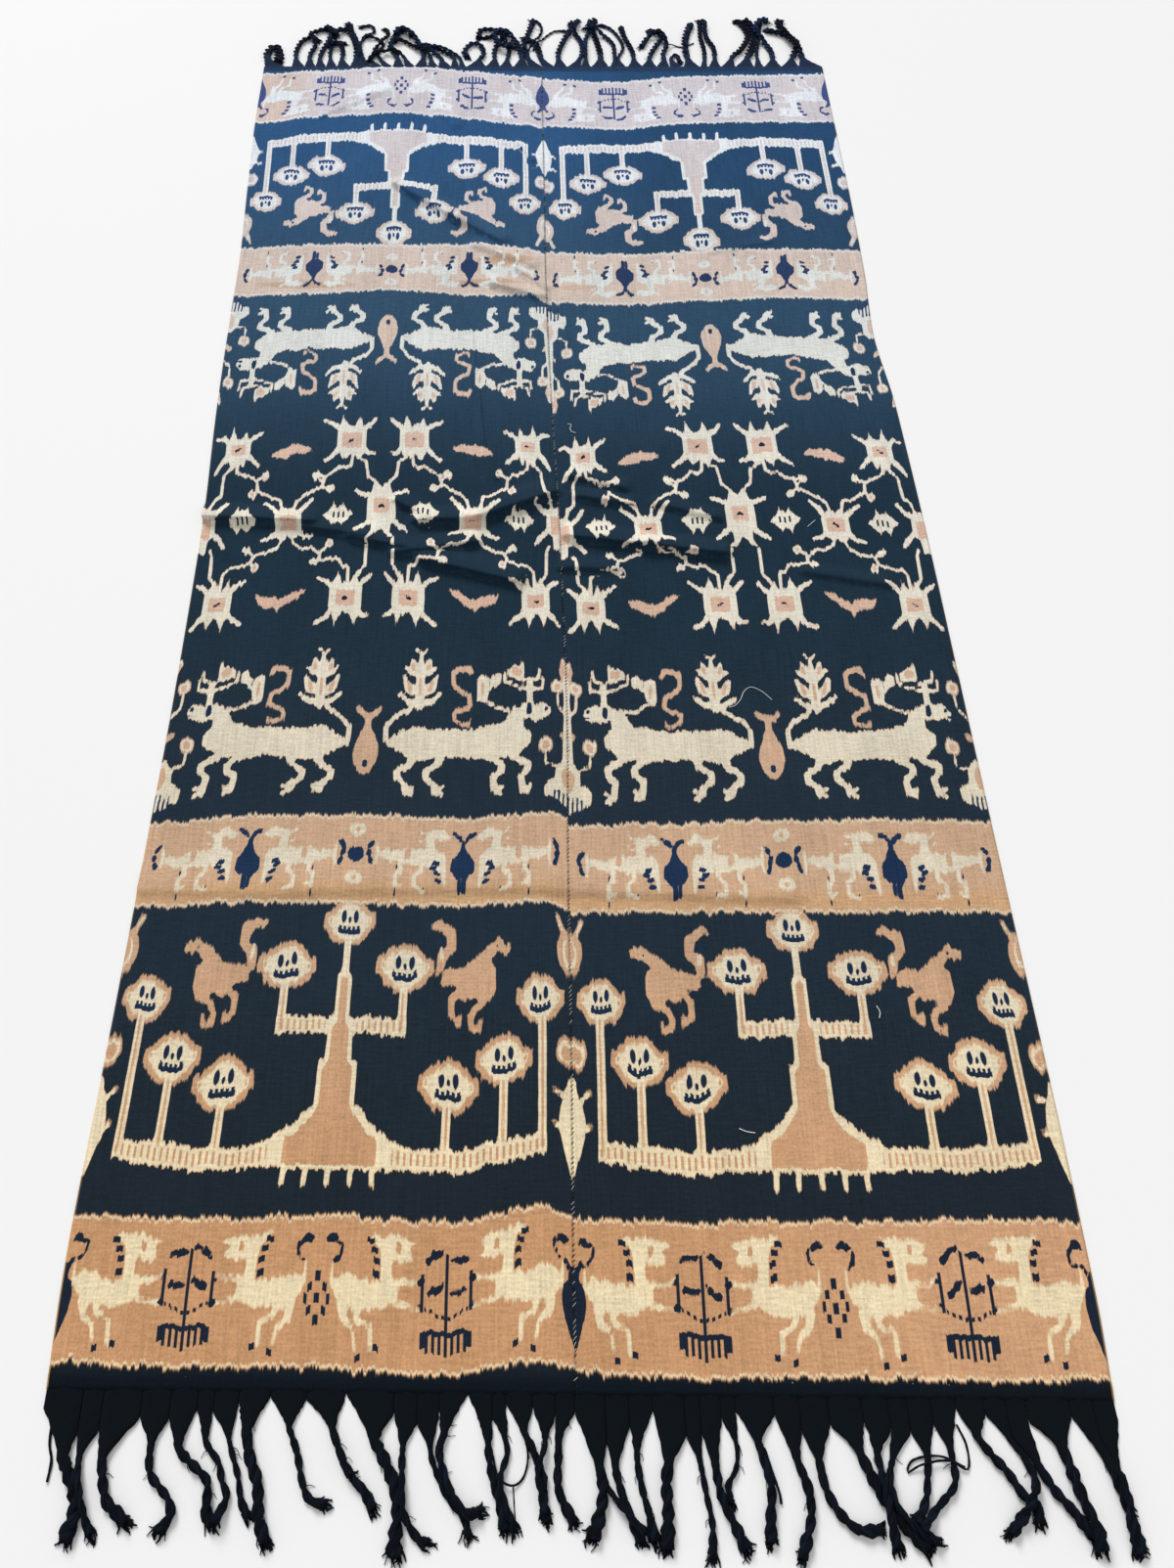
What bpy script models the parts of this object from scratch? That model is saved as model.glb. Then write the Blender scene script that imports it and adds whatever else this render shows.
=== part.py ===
"""A long warp ikat throw, laid out on a floor: two hand-woven panels sewn side by side,
with a twisted fringe at each end of each panel.

Metres, +Z up. X runs across the throw, Y runs along it, and the floor is z = 0.
The origin is on the floor under the middle of the throw, fringes included.
Tables count along the throw from the near end of its pattern, which is MIDDLE before
the origin.
"""

import math
from collections import namedtuple

import bmesh
import bpy

# Driving sizes of the throw
MIDDLE = 1.2725
WOVEN_FROM = -0.022
WOVEN_TO = 2.512
CLOTH_THICKNESS = 0.0016
PIECE_GAP = 0.0003

# The plain strip at the end of each panel that carries the fringe
STRIP_DEPTH = 0.017

# The fringe
ROOT_GAP = 0.0016
NECK_DISTANCE = 0.030
CORD_WIDTH = 0.0080
CORD_HEIGHT = 0.0062
KNOT_WIDTH = 0.0104
KNOT_HEIGHT = 0.0086

# The long edges and the seam as they lie, along the throw
Edge = namedtuple("Edge", "along left seam right")
EDGES = (
    Edge(-0.022, -0.590, -0.002, 0.590),
    Edge(0.100, -0.593, -0.001, 0.597),
    Edge(0.350, -0.586, 0.004, 0.600),
    Edge(0.600, -0.579, 0.007, 0.600),
    Edge(0.900, -0.572, 0.013, 0.601),
    Edge(1.200, -0.570, 0.011, 0.602),
    Edge(1.500, -0.578, 0.004, 0.599),
    Edge(1.680, -0.580, 0.001, 0.588),
    Edge(1.850, -0.580, 0.000, 0.597),
    Edge(2.100, -0.588, 0.002, 0.603),
    Edge(2.350, -0.595, 0.003, 0.605),
    Edge(2.512, -0.595, 0.004, 0.606),
)

# Each fold is a soft ridge that runs from one point to another and fades at both ends
Fold = namedtuple("Fold", "x0 along0 x1 along1 height half_width")
FOLDS = (
    Fold(-0.565, 1.242, -0.330, 1.238, 0.0085, 0.024),
    Fold(-0.350, 1.238, -0.215, 1.205, 0.0080, 0.028),
    Fold(-0.240, 1.205, 0.000, 1.305, 0.0110, 0.034),
    Fold(-0.205, 1.160, -0.045, 1.122, 0.0080, 0.036),
    Fold(0.030, 1.200, 0.275, 1.165, 0.0100, 0.030),
    Fold(0.060, 1.286, 0.330, 1.236, 0.0060, 0.032),
    Fold(-0.565, 0.595, -0.020, 0.605, 0.0070, 0.045),
    Fold(-0.010, 0.600, 0.430, 0.588, 0.0065, 0.042),
    Fold(-0.280, 2.095, -0.130, 1.965, 0.0120, 0.034),
    Fold(-0.150, 1.985, -0.020, 1.850, 0.0120, 0.036),
    Fold(-0.170, 1.860, -0.015, 1.790, 0.0085, 0.030),
    Fold(-0.440, 2.340, -0.310, 2.440, 0.0055, 0.030),
    Fold(-0.250, 2.440, -0.170, 2.290, 0.0055, 0.030),
)

# Rows of each panel, closer together where the folds are
Stretch = namedtuple("Stretch", "along spacing")
ROWS = (
    Stretch(0.540, 0.091),
    Stretch(0.660, 0.020),
    Stretch(1.080, 0.105),
    Stretch(1.360, 0.020),
    Stretch(1.740, 0.095),
    Stretch(2.140, 0.025),
    Stretch(2.260, 0.060),
    Stretch(2.470, 0.026),
    Stretch(WOVEN_TO - STRIP_DEPTH, 0.025),
)
PANEL_COLUMNS = 14

# The strands of each fringe from left to right, in millimetres: where the root ends, where
# the strand lies at a third and two thirds of its reach, its tip, and its reach
Strand = namedtuple("Strand", "root_to third two_thirds tip reach")
NEAR_LEFT = (
    Strand(-548, -566, -554, -546, 128),
    Strand(-525, -541, -538, -524, 122),
    Strand(-482, -515, -506, -484, 112),
    Strand(-450, -465, -450, -447, 117),
    Strand(-420, -436, -409, -401, 112),
    Strand(-402, -408, -392, -385, 104),
    Strand(-375, -381, -367, -354, 106),
    Strand(-340, -361, -345, -333, 131),
    Strand(-300, -312, -300, -275, 96),
    Strand(-256, -266, -246, -222, 98),
    Strand(-203, -222, -202, -198, 138),
    Strand(-177, -190, -186, -166, 130),
    Strand(-153, -165, -150, -126, 120),
    Strand(-121, -148, -131, -105, 102),
    Strand(-94, -101, -95, -86, 117),
    Strand(-80, -85, -80, -70, 117),
    Strand(-50, -57, -51, -47, 112),
    Strand(-25, -40, -36, -31, 108),
    Strand(-4, -21, -20, -10, 108),
)
NEAR_RIGHT = (
    Strand(30, 15, 22, 12, 122),
    Strand(56, 37, 46, 58, 124),
    Strand(82, 65, 68, 75, 124),
    Strand(117, 97, 92, 92, 132),
    Strand(134, 129, 136, 134, 136),
    Strand(157, 146, 149, 166, 128),
    Strand(173, 169, 165, 182, 124),
    Strand(215, 198, 204, 198, 124),
    Strand(243, 232, 243, 230, 138),
    Strand(275, 257, 263, 293, 114),
    Strand(312, 301, 315, 318, 132),
    Strand(341, 322, 330, 343, 128),
    Strand(362, 343, 346, 358, 114),
    Strand(388, 371, 362, 373, 106),
    Strand(415, 398, 384, 389, 102),
    Strand(446, 440, 459, 453, 112),
    Strand(470, 468, 476, 471, 106),
    Strand(492, 486, 503, 523, 126),
    Strand(540, 522, 531, 540, 130),
    Strand(566, 558, 567, 564, 128),
    Strand(587, 577, 582, 581, 126),
)
FAR_LEFT = (
    Strand(-553, -573, -574, -566, 90),
    Strand(-521, 0, 0, 0, 0),
    Strand(-498, -512, -516, -502, 120),
    Strand(-473, -487, -488, -478, 135),
    Strand(-446, -460, -458, -455, 145),
    Strand(-426, -437, -436, -430, 100),
    Strand(-400, -415, -413, -412, 105),
    Strand(-363, -385, -396, -414, 172),
    Strand(-340, -354, -370, -374, 165),
    Strand(-318, -336, -346, -344, 130),
    Strand(-290, -316, -324, -326, 145),
    Strand(-262, -288, -300, -300, 140),
    Strand(-235, -262, -277, -281, 132),
    Strand(-212, -238, -251, -262, 100),
    Strand(-187, -210, -223, -233, 88),
    Strand(-164, -184, -196, -206, 76),
    Strand(-140, -160, -171, -180, 68),
    Strand(-98, -118, -118, -130, 92),
    Strand(-70, -86, -93, -106, 130),
    Strand(-38, -60, -68, -80, 140),
    Strand(3, -22, -30, -46, 112),
)
FAR_RIGHT = (
    Strand(23, 12, 12, 10, 185),
    Strand(46, 30, 28, 28, 160),
    Strand(82, 62, 74, 94, 155),
    Strand(109, 106, 110, 113, 165),
    Strand(134, 125, 127, 131, 150),
    Strand(173, 155, 149, 150, 165),
    Strand(211, 192, 188, 172, 148),
    Strand(242, 224, 213, 204, 140),
    Strand(277, 262, 278, 281, 125),
    Strand(302, 294, 297, 300, 105),
    Strand(330, 318, 320, 322, 66),
    Strand(367, 349, 352, 370, 155),
    Strand(411, 402, 393, 405, 168),
    Strand(444, 456, 478, 476, 165),
    Strand(500, 489, 503, 497, 160),
    Strand(546, 535, 526, 534, 162),
    Strand(606, 580, 571, 578, 172),
)
STRAND_SIDES = 4

COLOURS = {
    "cloth": (0.062, 0.075, 0.090, 1.0),
    "fringe": (0.012, 0.014, 0.020, 1.0),
}


def clear_scene():
    """Removes whatever the scene holds."""
    for obj in list(bpy.data.objects):
        bpy.data.objects.remove(obj, do_unlink=True)


def cotton(name, colour):
    """A matt dyed cotton."""
    material = bpy.data.materials.new(name)
    material.use_nodes = True
    shader = material.node_tree.nodes["Principled BSDF"]
    shader.inputs["Base Color"].default_value = colour
    shader.inputs["Roughness"].default_value = 0.9
    shader.inputs["Metallic"].default_value = 0.0
    return material


def smooth_between(stations, values, at):
    """A cubic through the values that never overshoots them and is level past both ends.

    The slope at a station is the harmonic mean of the slopes on both sides, or 0 where
    they differ in sign.
    """
    if at <= stations[0]:
        return values[0]
    if at >= stations[-1]:
        return values[-1]
    steps = [b - a for a, b in zip(stations, stations[1:])]
    slopes = [(b - a) / s for a, b, s in zip(values, values[1:], steps)]
    inner = [2 * a * b / (a + b) if a * b > 0 else 0.0 for a, b in zip(slopes, slopes[1:])]
    tangents = [slopes[0], *inner, slopes[-1]]
    i = max(k for k in range(len(steps)) if stations[k] <= at)
    t = (at - stations[i]) / steps[i]
    return (
        values[i] * (1 + 2 * t) * (1 - t) ** 2
        + tangents[i] * steps[i] * t * (1 - t) ** 2
        + values[i + 1] * t * t * (3 - 2 * t)
        + tangents[i + 1] * steps[i] * t * t * (t - 1)
    )


EDGE_STATIONS = [edge.along for edge in EDGES]


def left_edge(along):
    return smooth_between(EDGE_STATIONS, [edge.left for edge in EDGES], along)


def seam(along):
    return smooth_between(EDGE_STATIONS, [edge.seam for edge in EDGES], along)


def right_edge(along):
    return smooth_between(EDGE_STATIONS, [edge.right for edge in EDGES], along)


def panel_edges(side, along):
    """The long edges of the panel on that side, from left to right."""
    if side < 0:
        return left_edge(along), seam(along) - PIECE_GAP / 2
    return seam(along) + PIECE_GAP / 2, right_edge(along)


def ridge(fold, x, along):
    """A raised cosine across the fold, which fades over its half width past each end."""
    run_x, run_along = fold.x1 - fold.x0, fold.along1 - fold.along0
    length = math.hypot(run_x, run_along)
    travel = ((x - fold.x0) * run_x + (along - fold.along0) * run_along) / length
    aside = ((x - fold.x0) * run_along - (along - fold.along0) * run_x) / length
    past = max(0.0, -travel, travel - length)
    distance = math.hypot(aside, past) / fold.half_width
    return fold.height * 0.5 * (1 + math.cos(math.pi * distance)) if distance < 1 else 0.0


def lift(x, along):
    """How far the cloth stands off the floor: folds that meet add as the root of squares."""
    return math.sqrt(sum(ridge(fold, x, along) ** 2 for fold in FOLDS))


def row_positions():
    """How far along each row of a panel is, end to end."""
    rows = [WOVEN_FROM + STRIP_DEPTH]
    for stretch in ROWS:
        start = rows[-1]
        steps = max(1, round((stretch.along - start) / stretch.spacing))
        rows += [start + (stretch.along - start) * (i + 1) / steps for i in range(steps)]
    return rows


def object_from(mesh_builder, name, material):
    """Names and links one closed mesh."""
    mesh = bpy.data.meshes.new(name)
    bmesh.ops.recalc_face_normals(mesh_builder, faces=mesh_builder.faces)
    mesh_builder.to_mesh(mesh)
    mesh_builder.free()
    mesh.materials.append(material)
    obj = bpy.data.objects.new(name, mesh)
    bpy.context.scene.collection.objects.link(obj)
    return obj


def closed_sheet(rows_of_points):
    """A grid of floor-side points, thickened upwards and closed round its rim."""
    sheet = bmesh.new()
    low = [[sheet.verts.new(p) for p in row] for row in rows_of_points]
    high = [
        [sheet.verts.new((p[0], p[1], p[2] + CLOTH_THICKNESS)) for p in row]
        for row in rows_of_points
    ]
    last_row, last_column = len(low) - 1, len(low[0]) - 1
    for i in range(last_row):
        for j in range(last_column):
            sheet.faces.new((high[i][j], high[i][j + 1], high[i + 1][j + 1], high[i + 1][j]))
            sheet.faces.new((low[i][j], low[i + 1][j], low[i + 1][j + 1], low[i][j + 1]))
    rim = [(0, j) for j in range(last_column)]
    rim += [(i, last_column) for i in range(last_row)]
    rim += [(last_row, j) for j in range(last_column, 0, -1)]
    rim += [(i, 0) for i in range(last_row, 0, -1)]
    for (i, j), (k, m) in zip(rim, rim[1:] + rim[:1]):
        sheet.faces.new((low[i][j], low[k][m], high[k][m], high[i][j]))
    return sheet


def panel(name, side, material):
    """One woven width, lying with its folds."""
    grid = []
    for along in row_positions():
        left, right = panel_edges(side, along)
        row = [left + (right - left) * j / PANEL_COLUMNS for j in range(PANEL_COLUMNS + 1)]
        grid.append([(x, along - MIDDLE, lift(x, along)) for x in row])
    return object_from(closed_sheet(grid), name, material)


def strand_middle(strand, root, out):
    """Where a strand's middle lies, this far out from the woven edge, in metres."""
    reach = strand.reach / 1000
    stations = (0.0, reach / 3, reach * 2 / 3, reach)
    values = (root, strand.third / 1000, strand.two_thirds / 1000, strand.tip / 1000)
    return smooth_between(stations, values, out)


def strand_rings(strand, root, root_width):
    """Rings from neck to tip, each as its left and right (x, out) and its height."""
    reach = strand.reach / 1000
    free = reach - NECK_DISTANCE
    sections = [(NECK_DISTANCE * 0.5, 0.5 * (root_width + CORD_WIDTH), 0.0036)]
    sections += [
        (NECK_DISTANCE + free * share, CORD_WIDTH, CORD_HEIGHT)
        for share in (0.0, 0.22, 0.44, 0.66, 0.82)
    ]
    sections += [
        (reach - KNOT_WIDTH, KNOT_WIDTH, KNOT_HEIGHT),
        (reach, KNOT_WIDTH * 0.8, KNOT_HEIGHT * 0.7),
    ]
    rings = []
    for out, width, height in sections:
        x = strand_middle(strand, root, out)
        ahead = strand_middle(strand, root, min(reach, out + 0.002))
        behind = strand_middle(strand, root, max(0.0, out - 0.002))
        slope = (ahead - behind) / 0.004
        norm = math.hypot(1.0, slope)
        side_x, side_out = width / 2 / norm, width / 2 * slope / norm
        rings.append(((x - side_x, out + side_out), (x + side_x, out - side_out), height))
    return rings


def fringe(name, side, end, strands, material):
    """The plain strip with its strands grown out of its outer edge, as one closed mesh."""
    mesh = bmesh.new()
    woven_edge = WOVEN_FROM if end < 0 else WOVEN_TO
    left, right = panel_edges(side, woven_edge)

    def vertex(x, out, height):
        return mesh.verts.new((x, woven_edge + end * out - MIDDLE, height))

    roots = []
    start = left
    for strand in strands:
        stop = min(strand.root_to / 1000, right)
        roots.append((start + ROOT_GAP / 2, stop - ROOT_GAP / 2))
        start = stop
    columns = [left, *(x for root in roots for x in root), right]
    inner_out = -(STRIP_DEPTH - PIECE_GAP)
    inner_low = [vertex(x, inner_out, 0.0) for x in columns]
    inner_high = [vertex(x, inner_out, CLOTH_THICKNESS) for x in columns]
    outer_low = [vertex(x, 0.0, 0.0) for x in columns]
    outer_high = [vertex(x, 0.0, CLOTH_THICKNESS) for x in columns]
    last = len(columns) - 1
    for j in range(last):
        mesh.faces.new((inner_low[j], inner_low[j + 1], outer_low[j + 1], outer_low[j]))
        mesh.faces.new((inner_high[j], outer_high[j], outer_high[j + 1], inner_high[j + 1]))
        mesh.faces.new((inner_low[j], inner_high[j], inner_high[j + 1], inner_low[j + 1]))
        if j % 2 == 0 or not strands[j // 2].reach:
            mesh.faces.new((outer_low[j], outer_low[j + 1], outer_high[j + 1], outer_high[j]))
    for j in (0, last):
        mesh.faces.new((inner_low[j], outer_low[j], outer_high[j], inner_high[j]))
    for number, (strand, root) in enumerate(zip(strands, roots)):
        if not strand.reach:
            continue
        j = 2 * number + 1
        ring = [outer_low[j], outer_low[j + 1], outer_high[j + 1], outer_high[j]]
        for near, far, height in strand_rings(strand, sum(root) / 2, root[1] - root[0]):
            following = [vertex(*near, 0.0), vertex(*far, 0.0)]
            following += [vertex(*far, height), vertex(*near, height)]
            for k in range(STRAND_SIDES):
                m = (k + 1) % STRAND_SIDES
                mesh.faces.new((ring[k], ring[m], following[m], following[k]))
            ring = following
        mesh.faces.new(ring)
    return object_from(mesh, name, material)


def main():
    clear_scene()
    cloth = cotton("ikat_cloth", COLOURS["cloth"])
    yarn = cotton("fringe_yarn", COLOURS["fringe"])
    panel("panel_left", -1, cloth)
    panel("panel_right", 1, cloth)
    fringe("fringe_near_left", -1, -1, NEAR_LEFT, yarn)
    fringe("fringe_near_right", 1, -1, NEAR_RIGHT, yarn)
    fringe("fringe_far_left", -1, 1, FAR_LEFT, yarn)
    fringe("fringe_far_right", 1, 1, FAR_RIGHT, yarn)


main()
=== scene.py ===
"""The looks of a long warp ikat throw that lies on a floor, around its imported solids.

Metres, +Z up, in the frame of the solids. X runs across the throw and Y along it.
"Along" counts from the near end of the throw's pattern, which is MIDDLE before the origin,
and millimetres are used only where a name or a heading says so.
"""

import math
from collections import namedtuple

import bpy
import numpy as np
from mathutils import Matrix


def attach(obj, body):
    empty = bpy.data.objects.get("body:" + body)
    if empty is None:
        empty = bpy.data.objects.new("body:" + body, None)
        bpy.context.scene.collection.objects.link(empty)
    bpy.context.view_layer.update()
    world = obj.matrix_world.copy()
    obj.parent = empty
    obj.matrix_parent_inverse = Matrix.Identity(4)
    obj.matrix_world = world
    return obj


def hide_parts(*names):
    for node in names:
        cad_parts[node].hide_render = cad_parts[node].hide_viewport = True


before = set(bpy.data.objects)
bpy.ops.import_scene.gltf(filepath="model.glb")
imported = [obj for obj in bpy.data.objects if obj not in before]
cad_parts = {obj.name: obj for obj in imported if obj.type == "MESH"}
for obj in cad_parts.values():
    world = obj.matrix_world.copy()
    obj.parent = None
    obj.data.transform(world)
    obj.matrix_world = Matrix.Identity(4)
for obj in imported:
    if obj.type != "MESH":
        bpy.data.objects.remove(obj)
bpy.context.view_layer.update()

# Where the woven cloth begins and ends, as in the solids
MIDDLE = 1.2725
WOVEN_TO = 2.512
PANEL_FROM = -0.012
END_RISE = 0.0011
END_DEPTH = 0.012
PANEL_WIDTH = 0.59
PATTERN_LENGTH = 2.50
CLOTH_THICKNESS = 0.0013
PIECE_GAP = 0.0003
MM = 0.001

# The long edges and the seam as they lie, along the throw
Edge = namedtuple("Edge", "along left seam right")
EDGES = (
    Edge(-0.022, -0.590, -0.002, 0.590),
    Edge(0.100, -0.593, -0.001, 0.597),
    Edge(0.350, -0.586, 0.004, 0.600),
    Edge(0.600, -0.579, 0.007, 0.600),
    Edge(0.900, -0.572, 0.013, 0.601),
    Edge(1.200, -0.570, 0.011, 0.602),
    Edge(1.500, -0.578, 0.004, 0.599),
    Edge(1.680, -0.580, 0.001, 0.588),
    Edge(1.850, -0.580, 0.000, 0.597),
    Edge(2.100, -0.588, 0.002, 0.603),
    Edge(2.350, -0.595, 0.003, 0.605),
    Edge(2.512, -0.595, 0.004, 0.606),
)

# Each fold is a ridge that runs from one point to another and fades at both ends. It is
# steep on the right of that way, and gentle on its left, in shares of its half width.
STEEP_SIDE = 0.42
GENTLE_SIDE = 1.5
Fold = namedtuple("Fold", "x0 along0 x1 along1 height half_width")
FOLDS = (
    Fold(-0.565, 1.247, -0.395, 1.239, 0.0125, 0.026),
    Fold(-0.400, 1.226, -0.300, 1.209, 0.0088, 0.024),
    Fold(-0.325, 1.205, -0.245, 1.188, 0.0100, 0.022),
    Fold(-0.255, 1.280, -0.200, 1.247, 0.0088, 0.020),
    Fold(-0.215, 1.241, -0.130, 1.246, 0.0125, 0.024),
    Fold(-0.115, 1.253, -0.008, 1.298, 0.0137, 0.030),
    Fold(-0.250, 1.175, -0.130, 1.196, 0.0100, 0.024),
    Fold(-0.205, 1.160, -0.065, 1.120, 0.0125, 0.030),
    Fold(0.035, 1.336, 0.115, 1.312, 0.0075, 0.022),
    Fold(0.045, 1.292, 0.125, 1.277, 0.0088, 0.020),
    Fold(0.170, 1.277, 0.265, 1.249, 0.0063, 0.020),
    Fold(0.030, 1.209, 0.150, 1.193, 0.0119, 0.026),
    Fold(0.150, 1.193, 0.266, 1.176, 0.0137, 0.024),
    Fold(0.018, 1.144, 0.095, 1.142, 0.0075, 0.022),
    Fold(0.400, 1.137, 0.520, 1.113, 0.0056, 0.020),
    Fold(-0.570, 0.590, -0.350, 0.586, 0.0034, 0.034),
    Fold(-0.360, 0.592, -0.020, 0.598, 0.0042, 0.040),
    Fold(-0.010, 0.594, 0.300, 0.585, 0.0045, 0.038),
    Fold(-0.290, 2.104, -0.170, 2.000, 0.0100, 0.028),
    Fold(-0.175, 2.006, -0.085, 1.935, 0.0090, 0.028),
    Fold(-0.130, 1.920, -0.030, 1.868, 0.0060, 0.026),
    Fold(-0.100, 1.812, -0.012, 1.778, 0.0085, 0.024),
    Fold(-0.055, 1.856, -0.004, 1.800, 0.0075, 0.016),
    Fold(-0.052, 2.240, -0.022, 2.180, 0.0063, 0.012),
    Fold(-0.450, 2.340, -0.325, 2.425, 0.0035, 0.026),
    Fold(-0.262, 2.440, -0.185, 2.300, 0.0045, 0.026),
    Fold(-0.090, 1.335, -0.114, 1.420, 0.0039, 0.008),
    Fold(-0.114, 1.420, -0.121, 1.520, 0.0042, 0.008),
    Fold(-0.121, 1.520, -0.138, 1.690, 0.0031, 0.008),
    Fold(-0.138, 1.690, -0.165, 1.765, 0.0036, 0.008),
    Fold(0.120, 1.900, 0.150, 1.790, 0.0036, 0.014),
    Fold(0.320, 1.905, 0.430, 1.935, 0.0024, 0.018),
)

# A fold higher than this tips over, and how far it tips at most
UPRIGHT_FOLD = 0.006
MOST_TIP = 0.0065

# The fringe cords, in millimetres: the stretch of the cloth's end that each one gathers,
# its width, and its route on the floor as (across, beyond the pattern's end). A cord that
# gathers nothing is a ply that leaves another one.
Cord = namedtuple("Cord", "root_from root_to width route")
# How far beyond the pattern's end each gap between the near fans begins, from left to right
NEAR_LEFT_GAPS = (30, 54, 54, 40, 40, 30, 34, 23, 18, 20, 14, 33, 42, 31, 13, 35, 20, 25, 34, 31)
NEAR_RIGHT_GAPS = (
    31, 56, 44, 27, 52, 50, 34, 26, 31, 47, 40, 33, 43, 46, 37, 23, 27, 48, 33, 29, 50, 30,
)
NEAR_LEFT_CORDS = (
    Cord(-590, -548, 13, ((-569, 48), (-560, 75), (-542, 107), (-538, 130), (-545, 152))),
    Cord(-548, -525, 7, ((-541, 50), (-542, 70), (-540, 91), (-530, 122), (-519, 147))),
    Cord(-525, -482, 10, ((-517, 52), (-516, 82), (-507, 114), (-494, 126), (-482, 135))),
    Cord(-482, -450, 8, ((-466, 50), (-464, 87), (-450, 104), (-440, 114), (-436, 128), (-446, 143))),
    Cord(-450, -420, 9, ((-440, 48), (-434, 68), (-414, 85), (-400, 98), (-398, 124), (-391, 137))),
    Cord(-420, -402, 7, ((-412, 46), (-404, 64), (-390, 80), (-385, 96), (-378, 112), (-388, 134))),
    Cord(-402, -375, 6, ((-386, 46), (-377, 70), (-368, 92), (-362, 115), (-352, 130))),
    Cord(-375, -340, 11, ((-363, 50), (-357, 74), (-346, 99), (-342, 128), (-333, 152))),
    Cord(-340, -300, 7, ((-317, 46), (-306, 70), (-299, 95), (-290, 112), (-273, 118))),
    Cord(-300, -256, 8, ((-270, 45), (-260, 68), (-246, 91), (-232, 104), (-221, 120))),
    Cord(-256, -203, 12, ((-230, 46), (-212, 74), (-200, 98), (-195, 124), (-197, 152), (-196, 163))),
    Cord(-203, -177, 7, ((-190, 46), (-192, 72), (-191, 100), (-188, 124), (-176, 143), (-163, 152))),
    Cord(-177, -153, 6, ((-163, 46), (-161, 70), (-152, 92), (-140, 112), (-124, 128), (-120, 145))),
    Cord(-153, -121, 8, ((-146, 48), (-152, 68), (-142, 98), (-130, 116), (-120, 124), (-108, 123))),
    Cord(-121, -94, 8, ((-100, 46), (-97, 78), (-90, 104), (-84, 122), (-82, 138))),
    Cord(-94, -80, 6, ((-86, 42), (-78, 66), (-86, 92), (-80, 116), (-71, 137))),
    Cord(-80, -50, 8, ((-62, 44), (-50, 66), (-40, 90), (-40, 112), (-36, 130))),
    Cord(-50, -25, 6, ((-36, 44), (-38, 62), (-46, 84), (-42, 104), (-39, 122))),
    Cord(-25, -4, 8, ((-22, 46), (-23, 70), (-24, 98), (-17, 116), (-7, 130))),
    Cord(None, None, 3, ((-578, 40), (-577, 64), (-572, 80), (-573, 100))),
    Cord(None, None, 5, ((-270, 46), (-262, 62), (-252, 84), (-246, 90))),
    Cord(None, None, 2.3, ((-94, 70), (-88, 90), (-74, 98), (-62, 92), (-56, 74), (-58, 52))),
    Cord(None, None, 1.4, ((-72, 97), (-71, 116), (-70, 130))),
)
NEAR_RIGHT_CORDS = (
    Cord(-4, 30, 11, ((15, 46), (19, 70), (24, 98), (20, 122), (11, 145))),
    Cord(30, 56, 8, ((37, 46), (38, 78), (44, 104), (54, 128), (63, 146))),
    Cord(56, 82, 7, ((66, 45), (62, 70), (66, 100), (72, 122), (76, 146))),
    Cord(82, 117, 11, ((104, 48), (98, 68), (92, 92), (92, 120), (89, 153))),
    Cord(117, 134, 6, ((125, 45), (130, 75), (134, 104), (138, 130), (136, 160))),
    Cord(134, 157, 9, ((145, 45), (146, 78), (150, 106), (160, 128), (172, 153))),
    Cord(157, 173, 5, ((165, 42), (171, 60), (168, 80), (158, 96), (160, 112))),
    Cord(173, 215, 9, ((192, 46), (198, 70), (204, 95), (200, 124), (198, 146))),
    Cord(215, 243, 9, ((228, 46), (234, 70), (243, 98), (243, 122), (236, 142), (229, 160))),
    Cord(243, 275, 9, ((257, 46), (258, 72), (262, 98), (274, 120), (292, 134), (316, 134))),
    Cord(275, 312, 11, ((296, 46), (308, 76), (318, 98), (330, 118), (346, 136), (361, 150))),
    Cord(312, 341, 8, ((321, 44), (322, 70), (324, 100), (326, 126), (330, 150))),
    Cord(341, 362, 7, ((348, 44), (338, 68), (330, 90), (334, 112), (352, 132), (372, 144))),
    Cord(362, 388, 7, ((371, 44), (376, 62), (372, 86), (366, 108), (352, 126))),
    Cord(388, 415, 7, ((400, 44), (402, 70), (400, 92), (384, 108), (368, 122), (356, 132))),
    Cord(415, 446, 9, ((430, 44), (444, 64), (458, 80), (470, 100), (482, 112), (483, 126))),
    Cord(446, 470, 9, ((467, 46), (480, 68), (486, 88), (476, 106), (464, 122), (451, 136))),
    Cord(470, 492, 9, ((482, 48), (494, 76), (506, 98), (518, 112), (534, 134))),
    Cord(492, 540, 12, ((520, 48), (526, 74), (532, 100), (538, 126), (541, 150))),
    Cord(540, 566, 11, ((560, 46), (570, 72), (577, 100), (580, 128), (582, 152))),
    Cord(566, 590, 6, ((577, 46), (578, 70), (578, 92), (580, 112))),
    Cord(None, None, 6, ((28, 98), (40, 112), (54, 128), (66, 140))),
    Cord(None, None, 3, ((200, 60), (206, 84), (212, 102), (213, 112))),
    Cord(None, None, 3, ((104, 60), (94, 80), (88, 98), (90, 112))),
    Cord(None, None, 2.4, ((413, 36), (420, 56), (417, 78), (396, 70), (368, 74), (352, 82), (360, 70),
                           (388, 66), (414, 76))),
)
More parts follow.
